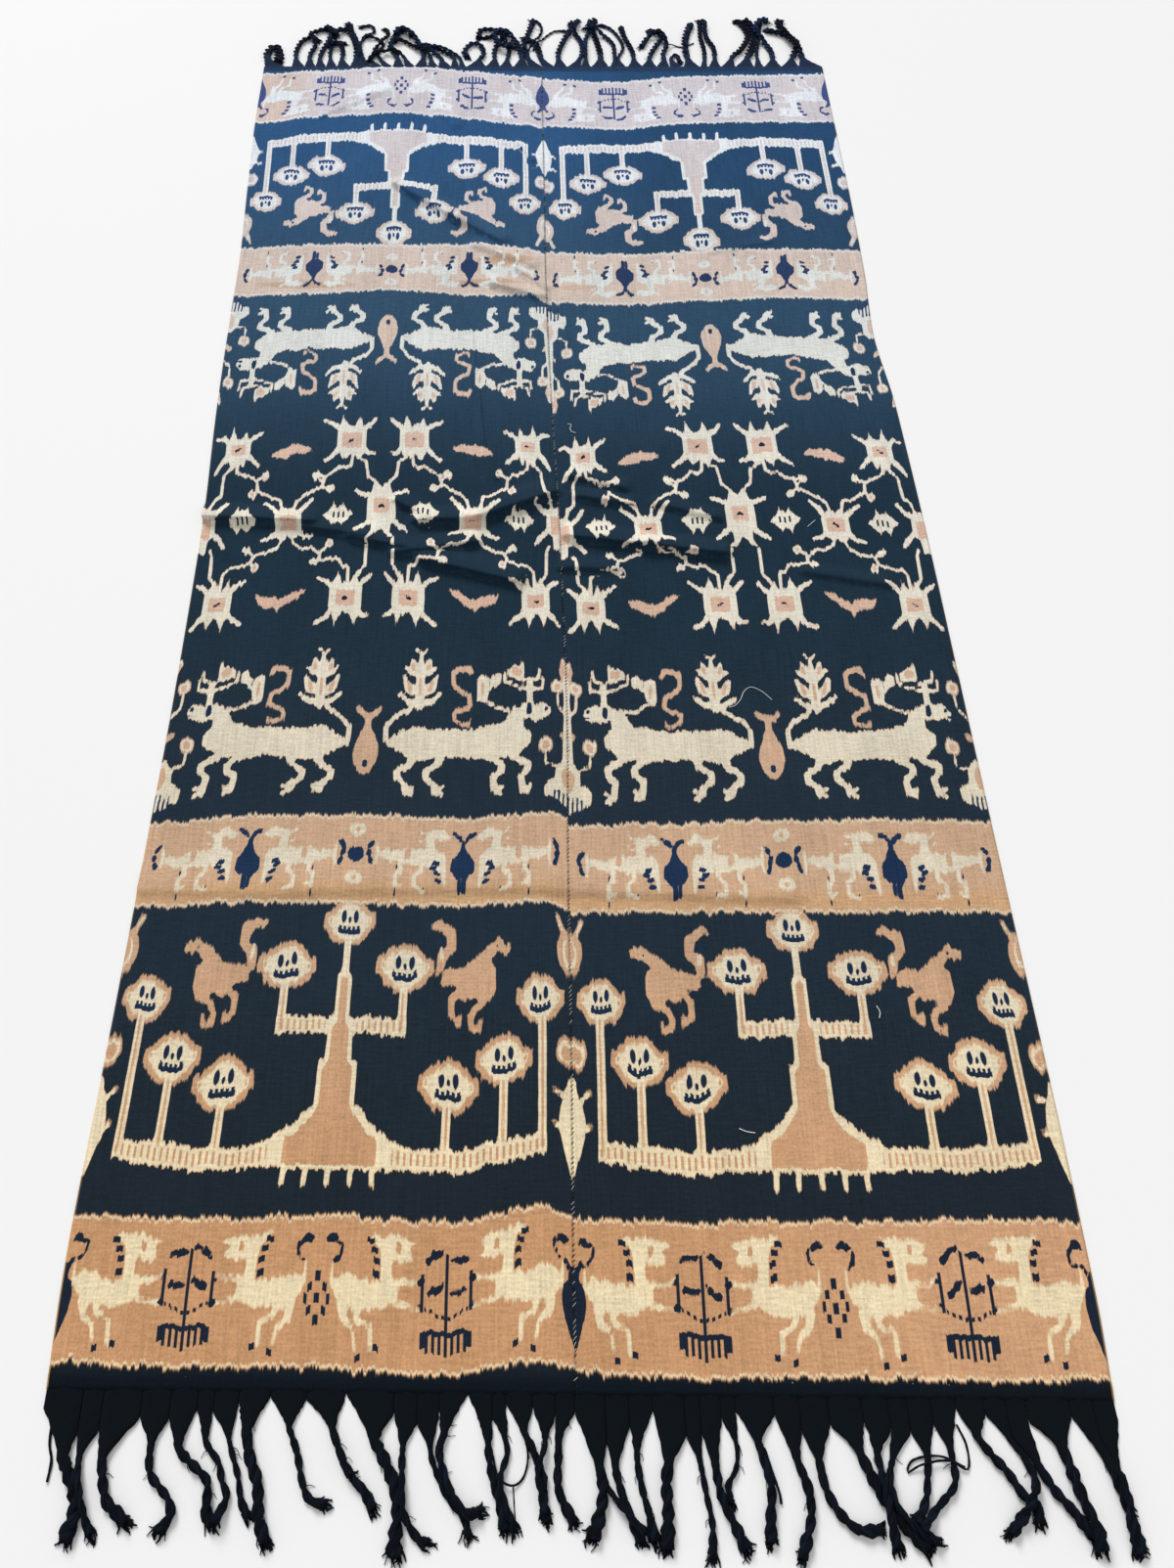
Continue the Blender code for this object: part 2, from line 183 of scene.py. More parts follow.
FAR_LEFT_CORDS = (
    Cord(-594, -553, 15, ((-584, 22), (-592, 48), (-586, 76), (-574, 78), (-566, 52), (-566, 26))),
    Cord(-536, -508, 9, ((-527, 26), (-530, 62), (-522, 100), (-505, 116), (-486, 108))),
    Cord(-508, -484, 9, ((-499, 26), (-498, 56), (-490, 90), (-502, 126), (-483, 146), (-456, 152))),
    Cord(-484, -462, 9, ((-478, 26), (-474, 62), (-464, 100), (-458, 134), (-470, 150))),
    Cord(-462, -438, 8, ((-452, 26), (-456, 62), (-450, 92), (-428, 98))),
    Cord(-438, -410, 9, ((-430, 24), (-428, 56), (-434, 84), (-459, 88))),
    Cord(-410, -390, 12, ((-398, 24), (-397, 66), (-407, 116), (-424, 146), (-442, 142), (-451, 122))),
    Cord(-390, -374, 9, ((-386, 22), (-396, 60), (-408, 108), (-416, 150), (-424, 172))),
    Cord(-374, -362, 6, ((-368, 20), (-384, 44), (-392, 92), (-380, 124), (-364, 142), (-372, 164),
                         (-392, 162))),
    Cord(-362, -340, 6, ((-358, 20), (-367, 36), (-352, 62), (-342, 92), (-356, 114), (-382, 122))),
    Cord(-340, -318, 7, ((-328, 22), (-344, 36), (-360, 68), (-347, 96), (-333, 132), (-340, 152))),
    Cord(-318, -292, 10, ((-302, 22), (-314, 56), (-326, 90), (-310, 132), (-292, 144), (-278, 128))),
    Cord(-292, -270, 8, ((-280, 24), (-300, 46), (-328, 64), (-355, 48), (-371, 28))),
    Cord(-270, -242, 10, ((-255, 22), (-252, 54), (-265, 98), (-286, 130), (-306, 142), (-317, 120))),
    Cord(-242, -220, 8, ((-231, 20), (-241, 50), (-274, 82), (-300, 106), (-318, 102))),
    Cord(-220, -192, 8, ((-207, 20), (-214, 40), (-238, 68), (-266, 80))),
    Cord(-192, -174, 8, ((-178, 22), (-190, 46), (-222, 74), (-250, 92))),
    Cord(-174, -160, 7, ((-165, 22), (-178, 48), (-204, 66), (-232, 78))),
    Cord(-156, -116, 9, ((-138, 24), (-122, 54), (-130, 88), (-150, 92), (-164, 62), (-156, 44))),
    Cord(-116, -86, 9, ((-96, 22), (-98, 66), (-84, 112), (-72, 132), (-98, 146), (-128, 146),
                        (-133, 118))),
    Cord(-86, -60, 8, ((-72, 24), (-67, 76), (-88, 122), (-118, 118))),
    Cord(-56, -24, 11, ((-37, 24), (-42, 64), (-54, 104), (-77, 132), (-98, 120), (-88, 80), (-58, 80))),
    Cord(-24, 4, 10, ((-22, 24), (-34, 84), (-24, 132), (-16, 166), (-14, 184))),
)
FAR_RIGHT_CORDS = (
    Cord(6, 30, 11, ((5, 22), (0, 52), (-10, 94), (-34, 112))),
    Cord(None, None, 5, ((-26, 68), (-6, 108), (6, 148), (0, 176), (-10, 184))),
    Cord(None, None, 4, ((-14, 72), (8, 114), (34, 144), (58, 144))),
    Cord(30, 58, 10, ((43, 22), (40, 56), (54, 108), (68, 142), (72, 176))),
    Cord(62, 88, 9, ((79, 22), (92, 56), (90, 102), (76, 140), (86, 182))),
    Cord(88, 108, 8, ((102, 22), (98, 56), (101, 108), (110, 142), (114, 184))),
    Cord(112, 148, 11, ((131, 22), (131, 56), (124, 108), (117, 142), (124, 180))),
    Cord(152, 168, 8, ((163, 22), (162, 56), (160, 92), (138, 128), (104, 150))),
    Cord(168, 184, 6, ((176, 22), (170, 42), (182, 80), (173, 122), (156, 154), (138, 166))),
    Cord(190, 220, 9, ((204, 22), (200, 68), (187, 116), (181, 156))),
    Cord(220, 250, 9, ((235, 22), (240, 52), (256, 90), (269, 122), (243, 144))),
    Cord(252, 278, 9, ((272, 22), (267, 52), (276, 90), (262, 130), (239, 118), (222, 82))),
    Cord(None, None, 3, ((268, 70), (288, 90), (312, 85), (338, 100))),
    Cord(280, 304, 7, ((291, 20), (283, 38), (296, 52), (302, 26))),
    Cord(310, 342, 12, ((322, 24), (316, 70), (322, 122), (336, 168))),
    Cord(346, 360, 8, ((355, 22), (357, 72), (353, 122), (357, 182))),
    Cord(364, 388, 9, ((377, 24), (378, 76), (366, 116), (364, 176))),
    Cord(392, 420, 10, ((408, 24), (420, 50), (438, 72), (457, 122), (448, 166), (438, 182))),
    Cord(422, 460, 13, ((442, 26), (457, 64), (471, 120), (464, 164), (455, 180))),
    Cord(462, 480, 7, ((471, 22), (470, 58), (479, 110), (490, 176))),
    Cord(484, 518, 10, ((503, 24), (500, 70), (483, 110), (472, 136), (486, 172), (506, 180))),
    Cord(520, 556, 11, ((538, 24), (551, 56), (561, 98), (536, 128), (500, 146))),
    Cord(556, 604, 12, ((572, 26), (562, 56), (551, 96), (535, 134), (531, 172), (535, 183))),
)

# The far gaps are all this deep, in millimetres. The rest of the cords' sizes are in metres.
FAR_GAP = 14
CORD_SIDES = 12
CORD_STEP = 0.004

# A cord's cross-section: the least width that has two plies, its height at most and as a
# share of its width, how uneven its width is, and how much it swells near its tip, how far
# from it and over what length. Then how square a flat fan is, and the share of its half
# width that counts where it crosses another cord
TWO_PLY_WIDTH = 0.004
MOST_CORD_HEIGHT = 0.0068
HEIGHT_SHARE = 0.72
UNEVEN_WIDTH = 0.16
SWELLING = 0.38
SWELLING_FROM_TIP = 0.012
SWELLING_LENGTH = 0.011
FAN_SQUARENESS = 0.55
CROSSING_REACH = 0.8

# The twist at each end: how far the plies swing and how thick they are, in shares of the
# cord's width, and how far one turn takes
Twist = namedtuple("Twist", "swing slender turn_length")
NEAR_TWIST = Twist(0.22, 0.80, 0.034)
FAR_TWIST = Twist(0.40, 0.62, 0.026)
TWIST_BEGINS = 0.015

# The flat fan of each cord, which starts under the cloth and ends past its gaps, and how
# far beyond it the cord is free to lie over others
FAN_TUCK = 0.006
FAN_ROWS = 14
FAN_LENGTH = 0.020
FAN_HEIGHT = 0.0017
FAN_RAGGED = 0.0009
FAN_TURNS_IN = 0.014
FREE_FROM = 0.004

# The frayed tips: how many wisps, how long and thick they are and how far they turn aside
# and bend, then how many hairs, how thick they are and how far they lean out
TUFT_WISPS = 26
WISP_LENGTH = (0.005, 0.015)
WISP_THICKNESS = (0.0007, 0.0018)
WISP_TURN = 0.5
WISP_BEND = 0.9
HAIRS = 3
HAIR_THICKNESS = 0.0005
HAIR_TURN = (0.3, 0.9)
HAIR_HALVES = (0.007, 0.006)

# The stitches over the seam and the loose threads, in metres
STITCHES_FROM = 0.004
STITCHES_TO = 2.500
STITCH_PITCH = 0.0058
STITCH_REACH = 0.0021
STITCH_SLANT = 0.0024
STITCH_RADIUS = 0.00042
STITCH_RINGS = 5
STITCH_SIDES = 6
THREAD_RADIUS = 0.0006
THREAD_STEP = 0.0015

# The grid of each panel's upper side, and how much coarser its underside is. The rows are
# closer where the folds lie: each stretch has its end, along the throw, and its rows.
PANEL_COLUMNS = 184
ROW_STRETCHES = (
    (0.560, 96), (0.630, 20), (1.090, 80), (1.340, 80), (1.770, 72), (2.110, 80), (WOVEN_TO, 68),
)
UNDERSIDE_STEP = 4

# The camera, from the throw's four corners in the photograph
FRAME_HEIGHT_PIXELS = 1603
FOCAL_PIXELS = 1165.3
CENTRE_SHIFT_PIXELS = 113.3
CAMERA_PLACE = (-0.1044, -1.2871, 1.4334)
CAMERA_PITCH = math.radians(28.271)
CAMERA_YAW = math.radians(1.163)
CAMERA_ROLL = math.radians(-0.679)
SENSOR_MM = 36.0

# The studio: a pale floor just under the throw, even light, and a wide lamp
FLOOR_HALF = 12.0
FLOOR_DROP = 0.0004
EVEN_LIGHT = 0.58
LAMP_LIGHT = 2.55
LAMP_WIDTH = math.radians(24)
LAMP_PLACE = (-1.2, 3.4, 2.2)
LAMP_TURN = (math.radians(-58), 0, math.radians(22))


def smooth_between(stations, values, at):
    """A cubic through the values that never overshoots them and is level past both ends.

    The slope at a station is the harmonic mean of the slopes on both sides, or 0 where
    they differ in sign.
    """
    stations, values = np.asarray(stations, float), np.asarray(values, float)
    at = np.clip(np.asarray(at, float), stations[0], stations[-1])
    steps = np.diff(stations)
    slopes = np.diff(values) / steps
    before, after = slopes[:-1], slopes[1:]
    same_way = before * after > 0
    total = np.where(same_way, before + after, 1.0)
    inner = np.where(same_way, 2 * before * after / total, 0.0)
    tangents = np.concatenate(([slopes[0]], inner, [slopes[-1]]))
    i = np.clip(np.searchsorted(stations, at, side="right") - 1, 0, len(steps) - 1)
    t = (at - stations[i]) / steps[i]
    return (
        values[i] * (1 + 2 * t) * (1 - t) ** 2
        + tangents[i] * steps[i] * t * (1 - t) ** 2
        + values[i + 1] * t * t * (3 - 2 * t)
        + tangents[i + 1] * steps[i] * t * t * (t - 1)
    )


EDGE_STATIONS = [edge.along for edge in EDGES]


def edge_line(name, along):
    """One of the throw's long lines, left, seam or right."""
    return smooth_between(EDGE_STATIONS, [getattr(edge, name) for edge in EDGES], along)


def panel_edges(side, along):
    """The long edges of the panel on that side, from left to right."""
    if side < 0:
        return edge_line("left", along), edge_line("seam", along) - PIECE_GAP / 2
    return edge_line("seam", along) + PIECE_GAP / 2, edge_line("right", along)


def rise_of(fold, x, along):
    """A raised cosine, 0 to 1, across the fold, which fades over its half width past each end."""
    run_x, run_along = fold.x1 - fold.x0, fold.along1 - fold.along0
    length = math.hypot(run_x, run_along)
    travel = ((x - fold.x0) * run_x + (along - fold.along0) * run_along) / length
    aside = ((x - fold.x0) * run_along - (along - fold.along0) * run_x) / length
    aside = aside / np.where(aside > 0, STEEP_SIDE, GENTLE_SIDE)
    past = np.maximum(0.0, np.maximum(-travel, travel - length))
    distance = np.minimum(1.0, np.hypot(aside, past) / fold.half_width)
    return 0.5 * (1 + np.cos(np.pi * distance))


def tipped(x, along):
    """Where the cloth's points go when each high fold tips over towards its steep side."""
    move_x, move_along = np.zeros(x.shape), np.zeros(x.shape)
    for fold in FOLDS:
        run_x, run_along = fold.x1 - fold.x0, fold.along1 - fold.along0
        tip = max(0.0, fold.height - UPRIGHT_FOLD) / math.hypot(run_x, run_along)
        move = tip * rise_of(fold, x, along) ** 2
        move_x += move * run_along
        move_along -= move * run_x
    share = 1 / np.maximum(1.0, np.hypot(move_x, move_along) / MOST_TIP)
    return x + move_x * share, along + move_along * share


def lift(x, along):
    """How far the cloth stands off the floor: folds that meet add as the root of squares.

    Both ends rise a little over the gathered warps that come out from under them.
    """
    to_end = np.minimum(along - PANEL_FROM, WOVEN_TO - along)
    rise = END_RISE * np.clip(2 - to_end / END_DEPTH, 0, 1)
    squares = sum((fold.height * rise_of(fold, x, along)) ** 2 for fold in FOLDS)
    return np.sqrt(squares) + rise


# How the pattern drifts along each panel, in millimetres, where its dyed warps were pulled
# while they were woven: from the panel's left edge to its right one
ACROSS_STATIONS = (-295, -150, 0, 150, 262, 295)
Drift = namedtuple("Drift", "along edge_left quarter_left middle quarter_right inset_right edge_right")
LEFT_DRIFT = (
    Drift(12, 4, 0, 0, -6, 10, 2),
    Drift(172, 0, -4, 1, -5, 15, 0),
    Drift(400, 0, 0, 0, -2, 3, 0),
    Drift(568, -5, 4, 2, 0, 7, -3),
    Drift(700, -10, 3, 5, 0, 10, 2),
    Drift(830, -5, 0, 0, 0, 0, -2),
    Drift(1080, -11, 0, 0, 0, 0, 0),
    Drift(1240, -10, -4, 0, 0, 0, 0),
    Drift(1440, -9, 0, 0, 0, 0, 0),
    Drift(1660, 0, 10, 14, 8, 0, -5),
    Drift(1780, 0, 7, 20, 5, 5, -15),
    Drift(1912, 3, 14, 15, 13, 5, -7),
    Drift(2000, 12, 20, 28, 25, 8, 5),
    Drift(2150, 14, 18, 30, 10, 6, 0),
    Drift(2308, 2, 25, 37, 15, -3, -13),
    Drift(2468, 17, 28, 48, 25, 8, 5),
)
RIGHT_DRIFT = (
    Drift(12, -2, -8, -4, -6, -4, -2),
    Drift(172, 0, -4, -1, 3, 2, 0),
    Drift(400, 0, -2, 0, 2, 0, 0),
    Drift(568, -8, -8, -6, -4, -3, -3),
    Drift(700, -10, -6, 0, 3, 2, 0),
    Drift(830, -5, -3, -3, 0, 0, 0),
    Drift(1240, -22, -12, -14, -3, -5, -5),
    Drift(1440, -28, -14, -12, -6, -9, -10),
    Drift(1660, -28, -25, -5, -5, -14, -15),
    Drift(1780, -15, -20, -8, 0, -4, -5),
    Drift(1912, -7, -12, -2, 4, 0, -2),
    Drift(2000, -8, -8, 8, 12, 6, 5),
    Drift(2150, -8, -13, 5, 8, 6, 5),
    Drift(2308, -8, -18, 2, 7, 7, 7),
    Drift(2468, -3, -13, 7, 12, 15, 17),
)

# The pattern, in millimetres: the line past which it comes again turned round, how far the
# comb trees and dark fish stand from a panel's middle, and the least depth that is kept
PATTERN_FOLD = 1240
TREE_MIDDLE = 149
FAR_OUTSIDE = -12.0

# How far small soft waves move the pattern at most, and how many there are along and across
SOFT_DRIFT = 2.5
SOFT_CELLS = (40, 50)


def drift(table, across, along):
    """How far the pattern lies from its true place: cubic along the throw, then across."""
    stations = [row.along for row in table]
    lines = list(zip(*table))[1:]
    columns = np.stack([smooth_between(stations, line, along[:, 0]) for line in lines])
    out = np.empty(across.shape)
    for k, (low, high) in enumerate(zip(ACROSS_STATIONS, ACROSS_STATIONS[1:])):
        part = (across[0] >= low) & (across[0] <= high)
        t = (across[0, part] - low) / (high - low)
        t = t * t * (3 - 2 * t)
        out[:, part] = columns[k][:, None] * (1 - t) + columns[k + 1][:, None] * t
    return out


class Figures:
    """How deep each point of a panel lies inside each dyed layer, in millimetres.

    Points are (across from the panel's middle line, along from the near end). A layer
    holds the greatest depth of all that is drawn in it, negative outside. While turned is
    set, lines and patches come out on the other side of TREE_MIDDLE.
    """

    def __init__(self, across, along):
        self.x, self.y = across, along
        self.layers = {}
        self.turned = False

    def placed(self, points):
        if not self.turned:
            return points
        return tuple((2 * TREE_MIDDLE - p[0], *p[1:]) for p in points)

    def layer(self, name):
        if name not in self.layers:
            self.layers[name] = np.full(self.x.shape, FAR_OUTSIDE)
        return self.layers[name]

    def lay(self, name, points, grown, depth_of):
        """Draws a form where the points of its box, grown by this much, have it near."""
        xs, ys = [p[0] for p in points], [p[1] for p in points]
        margin = grown - FAR_OUTSIDE
        near = (self.x > min(xs) - margin) & (self.x < max(xs) + margin)
        near &= (self.y > min(ys) - margin) & (self.y < max(ys) + margin)
        layer = self.layer(name)
        layer[near] = np.maximum(layer[near], depth_of(self.x[near], self.y[near]))

    def limb(self, name, *points):
        """A line through (x, y, half width) points: depth is half width less distance."""
        points = self.placed(points)

        def depth_of(x, y):
            depth = np.full(x.shape, FAR_OUTSIDE)
            for (x0, y0, h0), (x1, y1, h1) in zip(points, points[1:]):
                run_x, run_y = x1 - x0, y1 - y0
                t = ((x - x0) * run_x + (y - y0) * run_y) / (run_x**2 + run_y**2)
                t = np.clip(t, 0, 1)
                distance = np.hypot(x - x0 - t * run_x, y - y0 - t * run_y)
                depth = np.maximum(depth, h0 + (h1 - h0) * t - distance)
            return depth

        self.lay(name, points, max(p[2] for p in points), depth_of)

    def line(self, name, half, *points):
        """A line of one width."""
        self.limb(name, *((x, y, half) for x, y in points))

    def patch(self, name, *points):
        """A closed outline: depth is the distance to it, positive inside."""
        points = self.placed(points)

        def depth_of(x, y):
            nearest = np.full(x.shape, 1e9)
            inside = np.zeros(x.shape, bool)
            for (x0, y0), (x1, y1) in zip(points, points[1:] + points[:1]):
                run_x, run_y = x1 - x0, y1 - y0
                t = ((x - x0) * run_x + (y - y0) * run_y) / (run_x**2 + run_y**2)
                t = np.clip(t, 0, 1)
                distance = np.hypot(x - x0 - t * run_x, y - y0 - t * run_y)
                nearest = np.minimum(nearest, distance)
                if y0 != y1:
                    crosses = (y0 > y) != (y1 > y)
                    inside ^= crosses & (x < x0 + (y - y0) * run_x / run_y)
            return np.where(inside, nearest, -nearest)

        self.lay(name, points, 0, depth_of)

    def oval(self, name, x, y, half_x, half_y):
        """An ellipse: depth is 1 less the scaled distance, times the lesser half width."""
        corners = ((x - half_x, y - half_y), (x + half_x, y + half_y))
        lesser = min(half_x, half_y)

        def depth_of(at_x, at_y):
            return (1 - np.hypot((at_x - x) / half_x, (at_y - y) / half_y)) * lesser

        self.lay(name, corners, 0, depth_of)


def draw_twice(figures, draw_figure):
    """Draws a figure, and its mirror image on the other side of TREE_MIDDLE."""
    draw_figure(figures)
    figures.turned = True
    draw_figure(figures)
    figures.turned = False


def draw_horse(figures):
    """A cream horse with a hooked dark tail. The material adds its mane and hooves."""
    figures.patch("cream", (16, 100), (24, 108), (40, 107), (60, 102), (74, 106), (84, 110), (93, 104),
                  (93, 83), (80, 78), (66, 72), (40, 72), (30, 75), (20, 86))
    figures.patch("cream", (73, 100), (86, 104), (84, 126), (90, 127), (94, 124), (104, 126),
                  (113, 132), (106, 136), (105, 141), (115, 146), (104, 150), (90, 154), (70, 153),
                  (56, 156), (62, 148), (70, 140), (72, 128))
    figures.limb("cream", (15, 96, 2), (15, 121, 1.6))
    figures.limb("cream", (90, 105, 3.6), (108, 105, 2.2), (117, 110, 2))
    figures.limb("cream", (90, 84, 3.6), (106, 81, 2), (118, 80, 2))
    figures.limb("cream", (30, 76, 6), (31, 62, 4), (44, 51, 2.6), (46, 36, 2.6))
    figures.limb("cream", (44, 76, 4.6), (48, 63, 3.4), (63, 58, 2.6), (64, 34, 3))
    figures.patch("over", (89, 134), (95, 134), (95, 146), (89, 146))
    figures.limb("ink", (9, 145, 3), (15, 147, 4.6), (22, 142, 2.4))
    figures.limb("ink", (26, 140, 2.6), (25, 128, 2.6), (18, 123, 2.2))


def draw_comb_tree(figures):
    """The leaves in pairs of a dark tree, whose straight parts the material draws."""
    x = TREE_MIDDLE
    figures.limb("ink", (x - 22, 129, 3.6), (x - 14, 136, 3.8), (x - 4, 139, 2.2))
    figures.limb("ink", (x + 4, 134, 2.2), (x + 14, 133, 3.8), (x + 24, 130, 3.2))
    figures.limb("ink", (x - 19, 95, 3.8), (x - 11, 99, 4), (x - 4, 105, 2.2))
    figures.limb("ink", (x + 4, 99, 2.6), (x + 12, 98, 4), (x + 20, 98, 3.8))
    for side in (-1, 1):
        figures.line("ink", 3.2, (x + side * 28, 81), (x + side * 31, 82))
        figures.line("ink", 3.2, (x + side * 28, 108), (x + side * 31, 107))


def draw_near_band(figures):
    """Two horses that face a comb tree, and half of the dark spindle at the edge."""
    draw_twice(figures, draw_horse)
    draw_comb_tree(figures)
    figures.patch("ink", (302, 28), (295, 30), (290, 45), (284, 62), (281, 82), (283, 97), (289, 104),
                  (289, 112), (283, 124), (287, 128), (292, 118), (302, 118))


# Each head on the tree: its middle, how far it leans, and how wide it is
Head = namedtuple("Head", "x y lean wide")
HEADS = (
    Head(256, 439, 0.0, 0.84),
    Head(210, 361, 0.03, 0.98),
    Head(141, 331, -0.10, 1.04),
    Head(78, 483, 0.0, 1.04),
    Head(0, 543, 0.0, 0.94),
)


def draw_head(figures, head):
    """A tan dome and ears round a cream face. The material adds eyes, nose and mouth."""

    def placed(*points):
        return tuple(
            (head.x + p[0] * head.wide, head.y + p[1] + p[0] * head.lean, *p[2:]) for p in points
        )

    dome = ((0, 31), (12, 28), (22, 20), (28, 12), (36, 10), (37, -8), (31, -13), (26, -22),
            (18, -29), (8, -32))
    face = ((0, 24), (10, 22), (18, 14), (25, 7), (31, 5), (31, -4), (26, -9), (20, -18), (13, -25),
            (6, -28))
    for layer, half in (("under", dome), ("cream", face)):
        whole = half + tuple((-x, y) for x, y in reversed(half) if x > 0)
        figures.patch(layer, *placed(*whole))
    for side in (-1, 1):
        figures.limb("over", *placed((side * 27, 2, 2.2), (side * 28, -2, 2.2)))


def draw_tree(figures):
    """The tree of heads: trunk, roots, two hatched branches a side and the stems."""
    figures.patch("cream", (-30, 225), (75, 227), (84, 256), (64, 269), (50, 279), (38, 292),
                  (25, 304), (24.5, 357), (17, 360), (16, 395), (12, 414), (9.5, 416), (9.5, 470),
                  (4.5, 474), (4.5, 520), (-30, 520))
    figures.patch("over", (-30, 231), (57, 231), (57, 262), (44, 270), (32, 282), (24, 293),
                  (19, 305), (19, 350), (11.5, 356), (11, 398), (5, 410), (5, 466), (-30, 468))
    for x in (0, 27, 53):
        figures.line("cream", 3.2, (x, 228), (x + x * 0.03, 208))
    figures.patch("cream", (70, 228), (100, 229), (150, 226), (200, 229), (264, 237), (264, 262),
                  (250, 260), (200, 257), (150, 253), (100, 254), (70, 260))
    figures.patch("hatch", (76, 233), (100, 234), (150, 232), (200, 235), (262, 242), (262, 255),
                  (200, 251), (150, 247), (100, 248), (76, 252))
    figures.patch("cream", (10, 393), (84, 392), (84, 414), (10, 414))
    figures.patch("hatch", (20, 397), (80, 396), (80, 410), (20, 410))
    for x, foot, top in ((258.5, 242, 420), (210, 252, 340), (140, 248, 306), (78, 396, 456)):
        figures.line("cream", 5.2, (x, foot), (x, top))
        figures.line("over", 1.8, (x, foot + 2), (x, top - 6))
    for head in HEADS:
        draw_head(figures, head)


def draw_rooster(figures):
    """A tan rooster that looks outwards, with a hooked tail."""
    figures.patch("under", (126, 461), (129, 480), (150, 482), (163, 487), (180, 503), (193, 511),
                  (201, 518), (208, 513), (217, 512), (216, 502), (205, 499), (200, 501), (190, 488),
                  (197, 478), (198, 450), (191, 434), (176, 425), (166, 428), (176, 436), (172, 443),
                  (160, 440), (150, 446), (146, 456))
    figures.limb("under", (150, 448, 4), (141, 440, 4), (141, 418, 3.4), (151, 408, 3), (153, 419, 2))
    figures.limb("under", (172, 428, 4), (166, 416, 3.6), (167, 404, 3.4), (178, 398, 2.6), (180, 411, 2))
    figures.limb("under", (113, 538, 3), (121, 541, 5), (137, 530, 6.5), (139, 510, 5.5), (127, 500, 7),
                 (124, 478, 4))
    figures.limb("cream", (125, 506, 3), (126, 492, 3))
    figures.limb("ink", (117, 519, 2), (129, 515, 3))
    figures.oval("ink", 199, 506, 2.6, 3)


def draw_selvedge_figures(figures):
    """The spindle, rosette and sprout that each panel has half of at its edges."""
    figures.patch("cream", (302, 216), (293, 218), (287, 240), (281, 262), (279, 282), (282, 302),
                  (288, 320), (292, 336), (302, 340))
    for y in (318, 276):
        figures.limb("cream", (285, y - 8, 3.4), (275, y - 1, 2.4))
        figures.limb("under", (276, y - 1, 3), (272, y + 2, 2))
    figures.oval("under", 290, 369, 14, 19)
    figures.oval("cream", 289, 369, 11, 15)
    figures.oval("over", 289, 368, 7, 10)
    figures.oval("under", 293, 505, 14, 29)
    figures.oval("cream", 294, 505, 8, 22)
    figures.oval("over", 295, 508, 6, 18)
    figures.limb("under", (288, 530, 4), (279, 554, 3))
    figures.limb("cream", (286, 535, 2), (279, 553, 2))


def draw_bird(figures):
    """A long cream bird that faces the dark fish, with a dashed wing and a pincer."""
    figures.patch("cream", (28, 641), (40, 648), (52, 645), (66, 652), (74, 650), (90, 652),
                  (118, 650), (126, 640), (127, 594), (123, 592), (120, 612), (104, 622), (96, 626),
                  (84, 624), (64, 628), (46, 630))
    figures.patch("cream", (96, 640), (111, 640), (109, 660), (106, 668), (122, 665), (132, 670),
                  (124, 678), (116, 683), (106, 679), (96, 676), (97, 660))
    figures.patch("over", (68, 634), (76, 634), (76, 651), (68, 651))
    figures.limb("cream", (98, 671, 2.2), (91, 674, 2), (86, 680, 2))
    figures.limb("cream", (92, 660, 1.6), (86, 665, 2))
    figures.limb("cream", (62, 632, 3.4), (64, 614, 3), (57, 610, 3), (57, 592, 3), (66, 596, 2))
    figures.limb("cream", (91, 628, 3.4), (93, 616, 3), (83, 609, 3), (83, 592, 3), (96, 588, 2.6))
    figures.limb("cream", (28, 656, 2.4), (30, 642, 3), (28, 624, 2.4))
    for x, y, slant in ((21, 656, -2), (18, 643, 1), (21, 630, 1)):
        figures.limb("ink", (x - slant, y + 3, 3.2), (x + slant, y - 3, 3.6))
    for x, y in ((112, 630), (108, 623), (114, 614), (116, 603)):
        figures.limb("ink", (x - 2, y + 1, 3.2), (x + 2, y - 1, 3.6))
    figures.limb("ink", (58, 621, 2), (58, 617, 2))
    figures.limb("ink", (57, 586, 1.8), (57, 578, 1.8))
    figures.limb("ink", (96, 593, 1.6), (97, 591, 1.6))


def draw_second_band(figures):
    """Two birds, the dark fish between them, and three rosettes on the middle line."""
    draw_twice(figures, draw_bird)
    x = TREE_MIDDLE
    figures.patch("ink", (x, 668), (x + 4, 654), (x + 9, 642), (x + 16, 634), (x + 17, 618),
                  (x + 8, 606), (x - 8, 606), (x - 17, 618), (x - 16, 634), (x - 9, 642), (x - 4, 654))
    figures.limb("ink", (x - 1, 660, 2), (x - 5, 672, 2.8), (x - 12, 675, 4))
    figures.limb("ink", (x + 1, 660, 2), (x + 8, 671, 3.4), (x + 16, 678, 2.8))
    figures.line("ink", 2.6, (x - 4, 610), (x - 4, 589))
    figures.line("ink", 2.8, (x + 3, 610), (x + 3, 587))
    figures.oval("ink", 0, 641, 11, 12)
    figures.oval("cream", 0, 678, 12, 10)
    figures.oval("over", 0, 679, 3.6, 5)
    figures.oval("cream", 0, 605, 12, 10)
    figures.oval("over", 0, 605, 3.6, 4)


